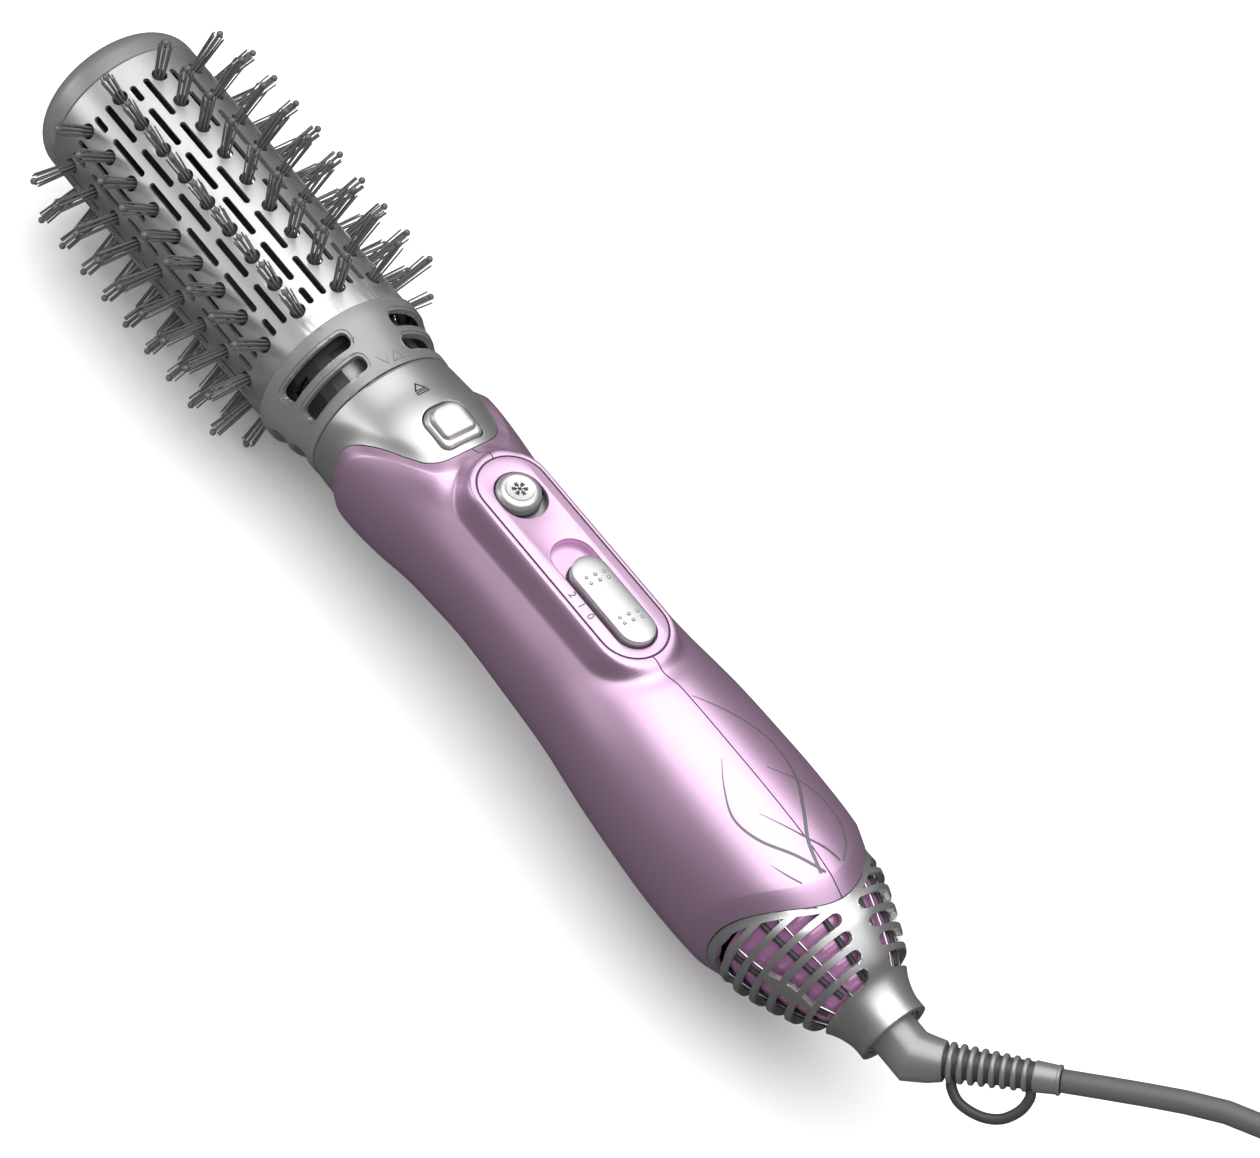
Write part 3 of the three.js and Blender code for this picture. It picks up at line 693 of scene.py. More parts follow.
@dataclass
class Barrel:
    """The vented tube, with its tuft holes and its two lines of slots between the rows."""

    rear: float = 88.2
    wall: float = 1.2
    rows: int = 12
    per_row: int = 9
    pitch: float = 10.1
    hole: float = 2.15
    slot_half: float = 0.9
    slot_start: float = -0.8
    slot_long: float = 13.9
    slot_short: float = 5.6
    slot_gap: float = 3.1
    long_line: float = 20.0   # degrees from a row to the line of long slots
    mixed_line: float = 10.0  # and to the line that starts and ends with a short one

    def slots(self) -> list[Spot3]:
        """Lists one row's slots as start, length and angle."""
        mixed = [self.slot_short, *[self.slot_long] * 4, self.slot_short]
        found = []
        for angle, lengths in ((self.long_line, [self.slot_long] * 5), (self.mixed_line, mixed)):
            x = self.slot_start
            for length in lengths:
                found.append((x, length, angle))
                x += length + self.slot_gap
        return found

    def exact(self, point: Vector) -> Vector | None:
        """Returns the normal at a point of the outer face."""
        out = Vector((0, point.y, point.z))
        return out.normalized() if abs(out.length - BARREL_RADIUS) < 0.02 else None

    def build(self, bench: Workbench) -> None:
        """Builds the tube."""
        inner = BARREL_RADIUS - self.wall
        outside = [(float(x), BARREL_RADIUS) for x in np.linspace(BARREL_FRONT, self.rear, 25)]
        tube = turned([(BARREL_FRONT, inner), *outside, (self.rear, inner)], 180, closed=True)
        low, high = inner - 2, BARREL_RADIUS + 2
        tools = [rod(Vector((i * self.pitch, 0, low)), Vector((i * self.pitch, 0, high)), self.hole, 20)
                 for i in range(self.per_row)]
        for start, length, angle in self.slots():
            outline = Outline.slot(start, start + length, self.slot_half).points(per_corner=5)
            tool = plate([outline], low, high)
            tool.data.transform(spun(angle))
            tools.append(tool)
        one_row = joined(tools)
        rows = [copied(one_row, spun(360 * i / self.rows)) for i in range(1, self.rows)]
        cut(tube, joined([one_row, *rows]))
        rounded(tube, 0.22, 2)
        bench.done(tube, "vented_barrel", Body.HEAD, Look.SILVER, ["barrel"], exact=self.exact)
        # The barrel's inside faces get the dark finish as painted shade, so that its slots and holes look
        # dark inside.
        bench.line(tube, Look.DARK)


@dataclass
class Tuft:
    """One tuft: fine filaments that splay round a ball-tipped pin."""

    filaments: int = 8
    foot: float = 20.6
    filament_tip: float = 35.4
    filament_radius: float = 0.27
    foot_spread: float = 1.05
    tip_spread: float = 1.72
    pin_radius: float = 0.42
    ball_radius: float = 0.95
    tip: float = 37.0

    def build(self) -> Piece:
        """Builds the tuft standing up along Z at X = 0."""
        parts = []
        for i in range(self.filaments):
            way = Vector((math.cos(TURN * i / self.filaments), math.sin(TURN * i / self.filaments), 0))
            foot = way * self.foot_spread + Vector((0, 0, self.foot))
            tip = way * self.tip_spread + Vector((0, 0, self.filament_tip))
            parts.append(rod(foot, tip, self.filament_radius, 6, self.filament_radius * 0.8))
        top = Vector((0, 0, self.tip - self.ball_radius))
        parts.append(rod(Vector((0, 0, self.foot)), top, self.pin_radius, 8))
        parts.append(ball(top, self.ball_radius, 10))
        return joined(parts)


@dataclass
class BristleRows:
    """The twelve rows: a carrier strip inside the barrel with nine tufts."""

    barrel: Barrel
    tuft: Tuft = field(default_factory=Tuft)
    strip_half: float = 1.6
    strip_inner: float = 20.2
    strip_outer: float = 22.2
    overhang: float = 2.4

    def build(self, bench: Workbench) -> None:
        """Builds one row and copies it round."""
        last = (self.barrel.per_row - 1) * self.barrel.pitch
        strip = plate([Outline(-self.overhang, last + self.overhang, self.strip_half, 0.6, 0.6).points()],
                      self.strip_inner, self.strip_outer, 0.2)
        first = self.tuft.build()
        tufts = [first]
        for i in range(1, self.barrel.per_row):
            swing = Matrix.Rotation(i * 0.9, 4, "Z")
            tufts.append(copied(first, Matrix.Translation((i * self.barrel.pitch, 0, 0)) @ swing))
        row = joined([strip, *tufts])
        for i in range(self.barrel.rows):
            number = f"{i + 1:02d}"
            whole = copied(row, spun(-360 * i / self.barrel.rows))
            bench.done(whole, f"tufts_{number}", f"row_{number}", Look.BRISTLE,
                       [f"bristle_row_{number}"], 50)
        bpy.data.objects.remove(row)


@dataclass
class TwistCap:
    """The cap at the tip, which turns to draw the bristles in."""

    front: float = -18.4
    rear: float = -8.5
    edge: float = 6.2
    inner: float = 4.3
    pointer: tuple[Spot, ...] = ((-1.6, 0), (1.4, 1.5), (1.4, -1.5))
    pointer_angle: float = -95.0

    def build(self, bench: Workbench) -> None:
        """Builds the cap with its pointer mark, and dresses the mechanism."""
        rim = [(self.front + self.edge * (1 - math.sin(a)), BARREL_RADIUS - self.edge * (1 - math.cos(a)))
               for a in np.linspace(math.pi / 2, 0, 12)]
        profile = [(self.front, 0), (self.front, 9), *rim, (self.rear - 0.25, BARREL_RADIUS),
                   (self.rear, BARREL_RADIUS - 0.25), (self.rear, 22), (self.front + 2.2, 17),
                   (self.front + 2.2, self.inner + 2), (self.rear, self.inner + 2), (self.rear, self.inner),
                   (self.front + 2, self.inner), (self.front + 2, 0)]
        cap = turned(profile, 120)
        arrow = plate([self.pointer], BARREL_RADIUS - 1, BARREL_RADIUS + 0.12)
        arrow.data.transform(spun(self.pointer_angle) @ Matrix.Translation((self.rear - 2.2, 0, 0)))
        bench.done(cap, "twist_cap_shell", Body.CAP, Look.GREY, ["end_cap"])
        bench.done(arrow, "cap_pointer", Body.CAP, Look.ELBOW)
        bench.dress(Look.DARK, "cam_shaft", "scroll_plate_front", "scroll_plate_rear")


@dataclass
class BaseRing:
    """The grey ring behind the barrel with two lines of air windows."""

    front: float = 88.4
    rear: float = 107.7
    wall: float = 1.8
    window_starts: tuple[float, float] = (92.8, 99.9)
    window_width: float = 4.6
    window_arc: float = 58.0
    window_turns: tuple[float, ...] = (45, 135, 225, 315)
    rim: float = 0.75
    rim_depth: float = 0.3
    tool_ends: Spot = (17.0, 28.0)  # the window tools' inner and outer radius
    arrow_x: float = 104.6
    arrow: tuple[Spot, ...] = ((-1.7, -1.9), (1.7, 0), (-1.7, 1.9))
    arrow_turn: float = 4.5   # degrees from the top to each arrow
    profile: tuple[Spot, ...] = ((88.4, 24.8), (90.4, 24.8), (92.5, 24.7), (95, 24.1), (98, 23.2),
                                 (101, 22.45), (103.5, 22.0), (107.7, 21.85))

    def __post_init__(self) -> None:
        """Works out the smooth outer line once."""
        self.places, self.radii = np.array([tuple(spot) for spot in curve_through(self.profile, 3)]).T

    def window(self, start: float, middle: float) -> list[Piece]:
        """Makes the two tools for one window: its soft rim's recess and its opening."""
        reach = math.radians(self.window_arc / 2) * BARREL_RADIUS
        outline = Outline(start, start + self.window_width, reach, 2.0, 2.0)
        recess = plate([dense(outline.grown(self.rim).points(), 1.0)], *self.tool_ends)
        for vertex in recess.data.vertices:
            if vertex.co.z < 20:
                vertex.co.z = self.radius(vertex.co.x) - self.rim_depth
        opening = plate([dense(outline.points(), 1.0)], *self.tool_ends)
        return [wrapped(tool, BARREL_RADIUS, middle) for tool in (recess, opening)]

    def radius(self, x: float) -> float:
        """Returns the ring's outer radius."""
        return float(np.interp(x, self.places, self.radii))

    def exact(self, point: Vector) -> Vector | None:
        """Returns the normal at a point of the outer face."""
        out = Vector((0, point.y, point.z))
        if abs(out.length - self.radius(point.x)) > 0.03 or not 88.8 < point.x < self.rear - 0.2:
            return None
        slope = (self.radius(point.x + 1.2) - self.radius(point.x - 1.2)) / 2.4
        out.normalize()
        out.x = -slope
        return out.normalized()

    def build(self, bench: Workbench) -> None:
        """Builds the ring, its arrows and the dark ring behind it."""
        outline = [(self.front, 24.5), (self.front + 0.3, 24.8),
                   *[(x, self.radius(x)) for x in np.linspace(90, 107.4, 20)], (self.rear, 21.6)]
        inside = [(x, radius - self.wall) for x, radius in reversed(outline)]
        ring = turned([*outline, *inside], 144, closed=True)
        for middle in self.window_turns:
            for start in self.window_starts:
                for tool in self.window(start, middle):
                    cut(ring, tool)
        rounded(ring, 0.3, 3, 35)
        bench.done(ring, "air_ring", Body.HEAD, Look.GREY, ["base_ring"], exact=self.exact)
        bench.dress(Look.DARK, "inner_vent_ring")
        bench.dress(Look.GREY, "front_bearing", "rear_bearing")
        bench.done(self.arrows(), "ring_arrows", Body.HEAD, Look.GREY)

    def arrows(self) -> Piece:
        """Makes the two raised arrow outlines that say where the ring lines up."""
        marks = []
        inner = [(x * 0.72 - 0.12, y * 0.72) for x, y in self.arrow]
        for side, turn in ((-1, 0), (1, math.pi)):
            arrow = plate([self.arrow, inner], 21.5, 22.05)
            arrow.data.transform(spun(side * self.arrow_turn) @ Matrix.Translation((self.arrow_x, 0, 0))
                                 @ Matrix.Rotation(turn, 4, "Z"))
            marks.append(arrow)
        return joined(marks)


# ---------------------------------------------------------------- handle


@dataclass
class HandleForm:
    """The handle's round outline: at each place along X its radius and how far its middle rises."""

    stations: tuple[Spot3, ...] = (
        (108.3, 21.6, 0), (115, 22.3, 0), (124, 23.3, 0.3), (136, 23.2, 0.8), (147, 22.0, 1.6),
        (160, 21.4, 2.3), (172, 21.3, 2.8), (190, 21.9, 2.6), (206, 22.6, 2.2), (225, 24.5, 1.6),
        (243, 25.5, 0.8), (256, 25.8, 0.4), (270, 25.3, 0.2), (280, 23.8, 0), (288, 21.6, 0),
        (297, 17.9, 0), (303, 14.8, 0), (307, 11.7, 0), (312, 9.8, 0), (316.5, 9.6, 0))
    collar_edge: tuple[Spot, ...] = (
        (-30, 119.5), (-14, 117.3), (0, 116.3), (8, 115.6), (12.5, 118.2), (16.5, 124),
        (19.4, 131.5), (21.2, 136.2), (24, 138.8), (30, 139))
    inlet_side: float = 273.6
    inlet_bow: float = 13.6
    inlet_power: float = 2.4

    def __post_init__(self) -> None:
        """Works out the smooth lines once."""
        line = np.array([tuple(p) for p in curve_through(self.stations, 16)])
        self.along, self.radii, self.rises = line.T
        edge = np.array([tuple(p) for p in curve_through(self.collar_edge, 12)])
        self.edge_heights, self.edge_places = edge.T

    def radius(self, x: float) -> float:
        """Returns the radius at a place along X."""
        return float(np.interp(x, self.along, self.radii))

    def rise(self, x: float) -> float:
        """Returns how far the middle rises at a place along X."""
        return float(np.interp(x, self.along, self.rises))

    def skin(self, x: float, angle: float, lift: float = 0.0) -> Vector:
        """Returns the point of the skin at an angle in degrees from the top, toward +Y."""
        turn = math.radians(angle)
        reach = self.radius(x) + lift
        return Vector((x, reach * math.sin(turn), self.rise(x) + reach * math.cos(turn)))

    def collar_end(self, angle: float) -> float:
        """Returns where the silver collar ends at an angle."""
        x = 130.0  # a first guess, which a few rounds make exact
        for _ in range(4):
            x = float(np.interp(self.skin(x, angle).z, self.edge_heights, self.edge_places))
        return x

    def inlet_start(self, angle: float) -> float:
        """Returns where the mauve shells end at an angle."""
        return self.inlet_side + self.inlet_bow * abs(math.cos(math.radians(angle))) ** self.inlet_power


@dataclass
class Island:
    """The raised flat area that holds the controls, with a soft valley round it."""

    outline: Outline = field(default_factory=lambda: Outline.slot(143.5, 215, 11))
    top: float = 26.6
    shoulder: float = 0.8
    foot: float = 2.6
    valley: float = 0.3
    valley_width: float = 2.4
    lowest: float = 8.0  # the height from which the skin is raised

    def outside(self, x: float, y: float) -> float:
        """Returns how far a point is outside the outline."""
        half = self.outline.half_width
        middle = min(max(x, self.outline.front + half), self.outline.rear - half)
        return math.hypot(x - middle, y) - half

    def raise_point(self, point: Vector) -> Vector:
        """Moves a point of the skin to the island's surface."""
        if point.z < self.lowest:
            return point
        away = self.outside(point.x, point.y)
        share = 1 - smooth_step(-self.shoulder, self.foot, away)
        dip = self.valley * math.exp(-((away - self.foot - 0.8) / self.valley_width) ** 2)
        return Vector((point.x, point.y, point.z + (self.top - point.z) * share - dip * (1 - share)))


@dataclass
class Shells:
    """The two mauve halves of the handle."""

    form: HandleForm
    island: Island
    wall: float = 2.2
    seam: float = 0.34
    front_gap: float = 0.3
    front_band: float = 3.8
    rear_band: float = 5.4
    front_sink: float = 0.6
    front_stand: float = 0.65
    front_fade: float = 22.0
    rear_sink: float = 1.15
    pocket_floor: float = 12.0
    screw_hole: float = 3.0
    seam_ends: tuple[float, float, float] = (139.6, 286.6, 120.5)  # the top's two and the bottom's front
    # The black strip under each seam is painted shade in the gap: its thickness and how far it sits below
    # the skin.
    shade_strip_thickness: float = 1.0
    shade_strip_depth: float = 0.85

    def lift(self, from_front: float, from_rear: float) -> float:
        """Returns how far the skin stands off the plain form near its two edges."""
        front = self.front_stand * (1 - smooth_step(self.front_band, self.front_fade, from_front))
        if from_front < self.front_band:
            front -= (self.front_sink + self.front_stand) * (1 - from_front / self.front_band)
        rear = 0.0
        if from_rear < self.rear_band:
            rear = -self.rear_sink * (1 - from_rear / self.rear_band)
        return front + rear

    def seam_shift(self, x: float) -> float:
        """Returns how far the top seam swings off the middle where it meets the island."""
        return 1.1 * smooth_step(138.8, 143.4, x) * (1 - smooth_step(143.4, 150, x)) - 0.9 * (
            smooth_step(205, 211, x) * (1 - smooth_step(215, 224, x)))

    def half(self, side: int) -> Piece:
        """Makes one half: 1 is right and -1 is left."""
        angles = spaced((0, 1), (20, 2), (42, 0.8), (180, 3.5))
        front = spaced((0, 1), (0.18, 1), (self.front_band - 0.15, 1.8), (self.front_band + 0.15, 1))
        rear = spaced((0, 1), (0.15, 1), (self.rear_band - 0.18, 1.8), (self.rear_band + 0.18, 1))
        middle = spaced((143.2, 1), (160, 0.7), (198, 2), (221, 0.8), (278, 2.4))
        low, high = middle[0], middle[-1]
        shares = [(x - low) / (high - low) for x in middle[1:-1]]
        count = len(front) + len(shares) + len(rear)
        across_steps = 2 * len(angles)

        def place(across: float, along: float) -> Vector:
            column = round(across * across_steps) % across_steps
            row = round(along * (count + 1)) - 1
            inner = column >= len(angles) or row in (-1, count)
            angle = angles[min(column, across_steps - 1 - column)]
            row = min(max(row, 0), count - 1)
            start = self.form.collar_end(angle) + self.front_gap
            end = self.form.inlet_start(angle)
            if row < len(front):
                x = start + front[row]
            elif row >= count - len(rear):
                x = end - rear[count - 1 - row]
            else:
                near, far = start + front[-1], end - rear[-1]
                x = near + (far - near) * shares[row - len(front)]
            lift = self.lift(x - start, end - x)
            if inner:
                point = self.form.skin(x, angle, lift - self.wall)
            else:
                point = self.island.raise_point(self.form.skin(x, angle, lift))
            shift = self.seam_shift(x) * (1 - smooth_step(0, 20, angle))
            return Vector((point.x, side * (max(point.y, 0) + self.seam / 2) + shift, point.z))

        return close_up(sheet(across_steps, count + 1, place))

    def seam_shade(self, first: float, last: float, angle: float) -> Piece:
        """Makes the black strip under the seam along the top or the bottom: painted shade that makes the
        gap look dark.
        """
        on_top = angle == 0

        def place(across: float, along: float) -> Vector:
            x = first + (last - first) * along
            start, end = self.form.collar_end(angle), self.form.inlet_start(angle)
            point = self.form.skin(x, angle, self.lift(x - start, end - x))
            y = self.seam * 0.55 * (2 * across - 1)
            if not on_top:
                return Vector((x, y, point.z + self.shade_strip_depth))
            point = self.island.raise_point(point)
            return Vector((x, self.seam_shift(x) + y, point.z - self.shade_strip_depth))

        return modified(sheet(1, 160, place), "SOLIDIFY", thickness=self.shade_strip_thickness, offset=0)

    def build(self, bench: Workbench, pocket: Outline, screws: Sequence[Spot]) -> None:
        """Builds both halves, with the pocket for the controls and the screw holes."""
        front, rear, lower_front = self.seam_ends
        # Black strips under the seams: painted shade in the gaps.
        shade_strips = joined([self.seam_shade(front, pocket.front - 0.1, 0),
                          self.seam_shade(pocket.rear + 0.1, rear, 0), self.seam_shade(lower_front, rear, 180)])
        bench.done(shade_strips, "seam_shade_strips", Body.HANDLE, Look.INK)
        for side, name in ((-1, "left"), (1, "right")):
            shell = self.half(side)
            cut(shell, plate([pocket.points()], self.pocket_floor, CLEAR))
            if side > 0:
                for x, z in screws:
                    cut(shell, rod(Vector((x, 10, z)), Vector((x, CLEAR, z)), self.screw_hole, 28))
            bench.done(shell, f"mauve_shell_{name}", Body.HANDLE, Look.PINK,
                       [f"handle_shell_{name}"], 28)


@dataclass
class Collar:
    """The silver neck that the brush head slides over, with its eject mark."""

    form: HandleForm
    front: float = 107.95
    wall: float = 2.2
    sink: float = 0.55
    sink_band: float = 9.0
    spigot_front: float = 91.0
    spigot_inner: float = 12.6
    spigot_outer: float = 13.9
    flange: Spot = (110.0, 112.0)  # joins the spigot to the collar
    flange_radius: float = 20.6
    hole_floor: float = 14.0
    mark_x: float = 116.6

    def build(self, bench: Workbench, hole: Outline) -> None:
        """Builds the collar, its spigot and the mark."""
        rows = [0.0, 0.012, 0.03, *[i / 26 for i in range(1, 26)], 0.985, 1.0]

        def place(across: float, along: float) -> Vector:
            angle = 360 * across
            end = self.form.collar_end(angle) + 0.1
            share = pick(rows, along)
            x = self.front + (end - self.front) * share
            lift = -self.sink * (1 - smooth_step(0, self.sink_band, end - x))
            if share == 0.0:
                lift -= 0.3
            return self.form.skin(x, angle, lift)

        skin = thickened(sheet(150, len(rows) - 1, place), self.wall)
        cut(skin, plate([hole.points()], self.hole_floor, CLEAR))
        rounded(skin, 0.15, 2, 50)
        near, far = self.flange
        spigot = turned([(self.spigot_front, self.spigot_inner), (self.spigot_front, self.spigot_outer),
                         (near, self.spigot_outer), (near, self.flange_radius),
                         (far, self.flange_radius), (far, self.spigot_inner)], closed=True)
        bench.done(joined([skin, spigot]), "silver_collar", Body.HANDLE, Look.SILVER, ["neck_collar"])
        bench.done(self.mark(), "eject_mark", Body.HANDLE, Look.INK)

    def mark(self) -> Piece:
        """Makes the eject mark: a triangle over a bar, both as outlines."""
        triangle = [(-1.9, 0), (0.85, 1.85), (0.85, -1.85)]
        inside = [(-1.25, 0), (0.5, 1.15), (0.5, -1.15)]
        bar = oblong(1.15, 2.15, 1.85)
        slit = oblong(1.46, 1.84, 1.55)
        height = self.form.skin(self.mark_x, 0).z
        mark = joined([plate([dense(line, 0.4) for line in lines], height - 0.3, height + 0.07)
                       for lines in ((triangle, inside), (bar, slit))])
        for vertex in mark.data.vertices:
            vertex.co.x += self.mark_x
            vertex.co.z += self.form.skin(vertex.co.x, 0).z - height - vertex.co.y ** 2 / 44
        return mark


@dataclass
class Swirl:
    """One tapering printed line, through places along X and angles from the top."""

    points: tuple[Spot, ...]
    width: float
    thickness: float = 0.05
    spread: float = 0.17  # how far each shell is moved sideways by the seam

    def build(self, form: HandleForm) -> Piece:
        """Makes the line as a thin skin on the shells."""
        line = curve_through(self.points, 14)

        def place(across: float, along: float) -> Vector:
            spot = round(along * (len(line) - 1))
            x, angle = line[spot]
            near, far = line[max(spot - 1, 0)], line[min(spot + 1, len(line) - 1)]
            way = (form.skin(far[0], far[1]) - form.skin(near[0], near[1])).normalized()
            lift = self.thickness + self.spread * abs(math.sin(math.radians(angle)))
            point = form.skin(x, angle, lift)
            out = Vector((0, point.y, point.z - form.rise(x))).normalized()
            half = self.width / 2 * (0.12 + 0.88 * math.sin(math.pi * min(along * 0.62 + 0.02, 1)))
            return point + way.cross(out) * half * (2 * across - 1)

        piece = sheet(2, len(line) - 1, place)
        return modified(piece, "SOLIDIFY", thickness=self.thickness, offset=0)


@dataclass
class Swirls:
    """Five free curves printed over the back of the handle."""

    form: HandleForm
    lines: tuple[Swirl, ...] = (
        Swirl(((226.5, 2), (237, 18), (246, 26), (256, 22.5), (265, 10.5), (272.5, 0), (280.5, -5)), 0.95),
        Swirl(((251.5, 9), (260, 25), (269, 30), (276, 24), (280.5, 13)), 0.7),
        Swirl(((260.5, -13), (270.5, -1), (276, 7), (280, 11)), 0.6),
        Swirl(((244, -9.5), (250.5, -19), (258, -25.5), (266, -22), (274, -11), (280.8, -2)), 0.75),
        Swirl(((272, -26), (276.5, -22), (280, -18)), 0.45))

    def build(self, bench: Workbench) -> None:
        """Builds the print as one piece."""
        curves = joined([line.build(self.form) for line in self.lines])
        bench.done(curves, "handle_swirls", Body.HANDLE, Look.GREY_INK)


# ---------------------------------------------------------------- controls


@dataclass
class ControlPanel:
    """The insert of the island, with the wells of the button and the slider, and its digits."""

    outline: Outline = field(default_factory=lambda: Outline.slot(146, 212.6, 9.3))
    cool_well: Outline = field(default_factory=lambda: Outline.slot(151, 165.6, 6.4))
    slide_well: Outline = field(default_factory=lambda: Outline.slot(174.2, 210.1, 5.85))
    top: float = 26.75
    digits: tuple[tuple[str, float], ...] = (("2", 188.65), ("1", 192.3), ("0", 196.0))
    digit_y: float = -7.4
    digit_size: float = 2.9

    def digit(self, text: str, x: float) -> Piece:
        """Makes one printed digit."""
        letter = fresh(bpy.ops.object.text_add)
        letter.data.body = text
        letter.data.size = self.digit_size
        letter.data.extrude = 0.03
        letter.data.offset = 0.03
        letter.data.align_x = "CENTER"
        letter.data.align_y = "CENTER"
        bpy.ops.object.convert(target="MESH")
        letter = close_up(bpy.context.object)
        letter.data.transform(Matrix.Translation((x, self.digit_y, self.top + 0.03)))
        return letter

    def build(self, bench: Workbench) -> None:
        """Builds the insert, its two floors and the digits."""
        face = plate([self.outline.points(), self.cool_well.points(), self.slide_well.points()],
                     self.top - 1.5, self.top, 0.22)
        slide_slot = oblong(184.4, 198.8, 1.7)
        slide_floor = plate([self.slide_well.grown(0.8).points(), slide_slot], 23.9, 24.4)
        slide_wall = plate([self.slide_well.grown(0.8).points(), self.slide_well.grown(0.02).points()],
                           24.3, self.top - 1.3)
        # A black frame under the gap round the insert: painted shade that makes the gap line dark.
        gap_shade = plate([self.outline.grown(0.44).points(), self.outline.grown(0.01).points()],
                       self.top - 1.9, self.top - 0.3)
        bench.done(gap_shade, "panel_gap_shade", Body.HANDLE, Look.INK)
        bench.done(joined([face, slide_floor, slide_wall]), "panel_insert", Body.HANDLE, Look.PINK,
                   ["control_panel"], 40)
        cool_slot = oblong(154.3, 161.3, 1.7)
        cool_floor = plate([self.cool_well.grown(0.6).points(), cool_slot], 23.4, 23.9)
        bench.done(cool_floor, "button_floor", Body.HANDLE, Look.ELBOW)
        digits = joined([self.digit(text, x) for text, x in self.digits])
        bench.done(digits, "switch_digits", Body.HANDLE, Look.GREY_INK)


@dataclass
class CoolButton:
    """The round cold-air button with its snow crystal."""

    x: float = 157.3
    profile: tuple[Spot, ...] = (
        (24.3, 0), (24.3, 5.7), (24.6, 5.9), (26.4, 5.9), (27.1, 5.75), (27.7, 5.35), (28.05, 4.8),
        (28.2, 4.2), (28.2, 3.9), (28.1, 3.6), (28.06, 3.3), (28.06, 0))
    arm: float = 2.15
    line: float = 0.3

    def crystal(self) -> Piece:
        """Makes the six-armed mark."""
        half = self.line / 2
        arm = plate([oblong(0, self.arm, half)], 28.0, 28.1)
        barbs = []
        for start in (0.95, 1.5):
            for side in (-1, 1):
                barb = plate([oblong(0, 0.75, half)], 28.0, 28.1)
                barb.data.transform(Matrix.Translation((start, 0, 0))
                                    @ Matrix.Rotation(side * math.radians(48), 4, "Z"))
                barbs.append(barb)
        one = joined([arm, *barbs])
        arms = [copied(one, Matrix.Rotation(TURN * i / 6, 4, "Z")) for i in range(1, 6)]
        return joined([one, *arms])

    def build(self, bench: Workbench) -> None:
        """Builds the button, its stem and the crystal."""
        middle = Matrix.Translation((self.x, 0, 0))
        cap = turned(self.profile, 72, Way.UP)
        stem = plate([oblong(-2.6, 1.6, 1.3)], 20.4, 24.5)
        button = joined([cap, stem])
        button.data.transform(middle)
        # A black ring under the button's edge: painted shade round its foot in the well.
        shade_ring = plate([Outline.slot(self.x - 6.15, self.x + 6.15, 6.15).points()], 24.5, 25.0)
        bench.done(shade_ring, "button_shade_ring", Body.COOL, Look.INK)
        bench.done(button, "cold_air_button", Body.COOL, Look.PEARL,
                   ["cool_button"], 30)
        crystal = self.crystal()
        crystal.data.transform(middle)
        bench.done(crystal, "snow_crystal", Body.COOL, Look.INK)


@dataclass
class Slider:
    """The domed slider with two groups of grip dimples."""

    outline: Outline = field(default_factory=lambda: Outline.slot(181.3, 209.5, 5))
    bottom: float = 24.75
    shoulder: float = 28.45
    top: float = 29.15
    dimple_groups: tuple[float, float] = (188.6, 202.0)
    dimple: float = 0.56

    def build(self, bench: Workbench) -> None:
        """Builds the slider and its stem."""
        low, high, rise = self.bottom, self.shoulder, self.top - self.shoulder
        dome = [(inset, high + rise * math.sin(math.acos(1 - inset / 5)) ** 1.2)
                for inset in np.linspace(0.15, 5, 16)]
        cap = lofted(self.outline, [(5, low), (0.5, low), (0.08, low + 0.4), (0, low + 1), (0, high - 0.7),
                                    (0.05, high - 0.3), *dome])
        stem = plate([oblong(191.4, 198.4, 1.3)], 22.5, 24.9)
        studs = []
        for middle in self.dimple_groups:
            for across in (-2.5, 0, 2.5):
                for along in (-0.95, 0.95):
                    height = self.top - 0.1 - 0.03 * across * across
                    spot = Vector((middle + along + across * 0.12, across, height))
                    studs.append(ball(spot, self.dimple))
        # A black plate under the slider's edge: painted shade that makes a dark line round it in the well.
        shade_ring = plate([self.outline.grown(0.5).points()], 24.6, 25.1)
        bench.done(shade_ring, "slide_shade_ring", Body.SLIDE, Look.INK)
        bench.done(joined([cap, stem]), "slide_cap", Body.SLIDE, Look.PEARL,
                   ["switch_slider"], 30)
        bench.done(joined(studs), "slide_studs", Body.SLIDE, Look.SILVER, (), 60)
        bench.dress(Look.DARK, "switch_carriage", "switch_body")


@dataclass
class ReleaseButton:
    """The button that frees the brush head: a rounded block with a raised pad."""

    outline: Outline = field(default_factory=lambda: Outline(123.9, 136.5, 6.2, 4.4, 2.2))
    pad: Outline = field(default_factory=lambda: Outline(124.8, 134.9, 5.3, 4.0, 2.0))
    bottom: float = 18.6
    ledge: float = 24.0
    top: float = 26.1
    spring_x: float = 132.2
    spring_bore: float = 2.8

    def build(self, bench: Workbench) -> None:
        """Builds the button and dresses its hook and spring."""
        edge = [(0, self.ledge - 1.2), (0.12, self.ledge - 0.7), (0.45, self.ledge - 0.3),
                (0.9, self.ledge - 0.05), (1.4, self.ledge), (6, self.ledge)]
        block = lofted(self.outline, [(6, self.bottom), (0, self.bottom), *edge])
        x = self.spring_x
        low, high = Vector((x, 0, self.bottom - 2)), Vector((x, 0, self.bottom + 2.4))
        cut(block, rod(low, high, self.spring_bore, 28))
        crown = [(0, self.ledge - 0.6), (0.1, self.ledge + 0.5), (0.4, self.top - 0.6),
                 (0.9, self.top - 0.2), (1.5, self.top - 0.03), (2.4, self.top), (4.2, self.top - 0.05),
                 (4.9, self.top - 0.08)]
        pad = lofted(self.pad, [(4.9, self.ledge - 0.6), *crown])
        for vertex in pad.data.vertices:
            if vertex.co.z > self.ledge:
                vertex.co.z -= 0.07 * (vertex.co.x - self.pad.front)
        bench.done(joined([block, pad]), "release_key", Body.RELEASE, Look.PEARL, ["release_button"], 40)
        bench.dress(Look.DARK, "latch_hook")
        bench.dress(Look.STEEL, "release_spring", "cool_spring")


# ---------------------------------------------------------------- air inlet


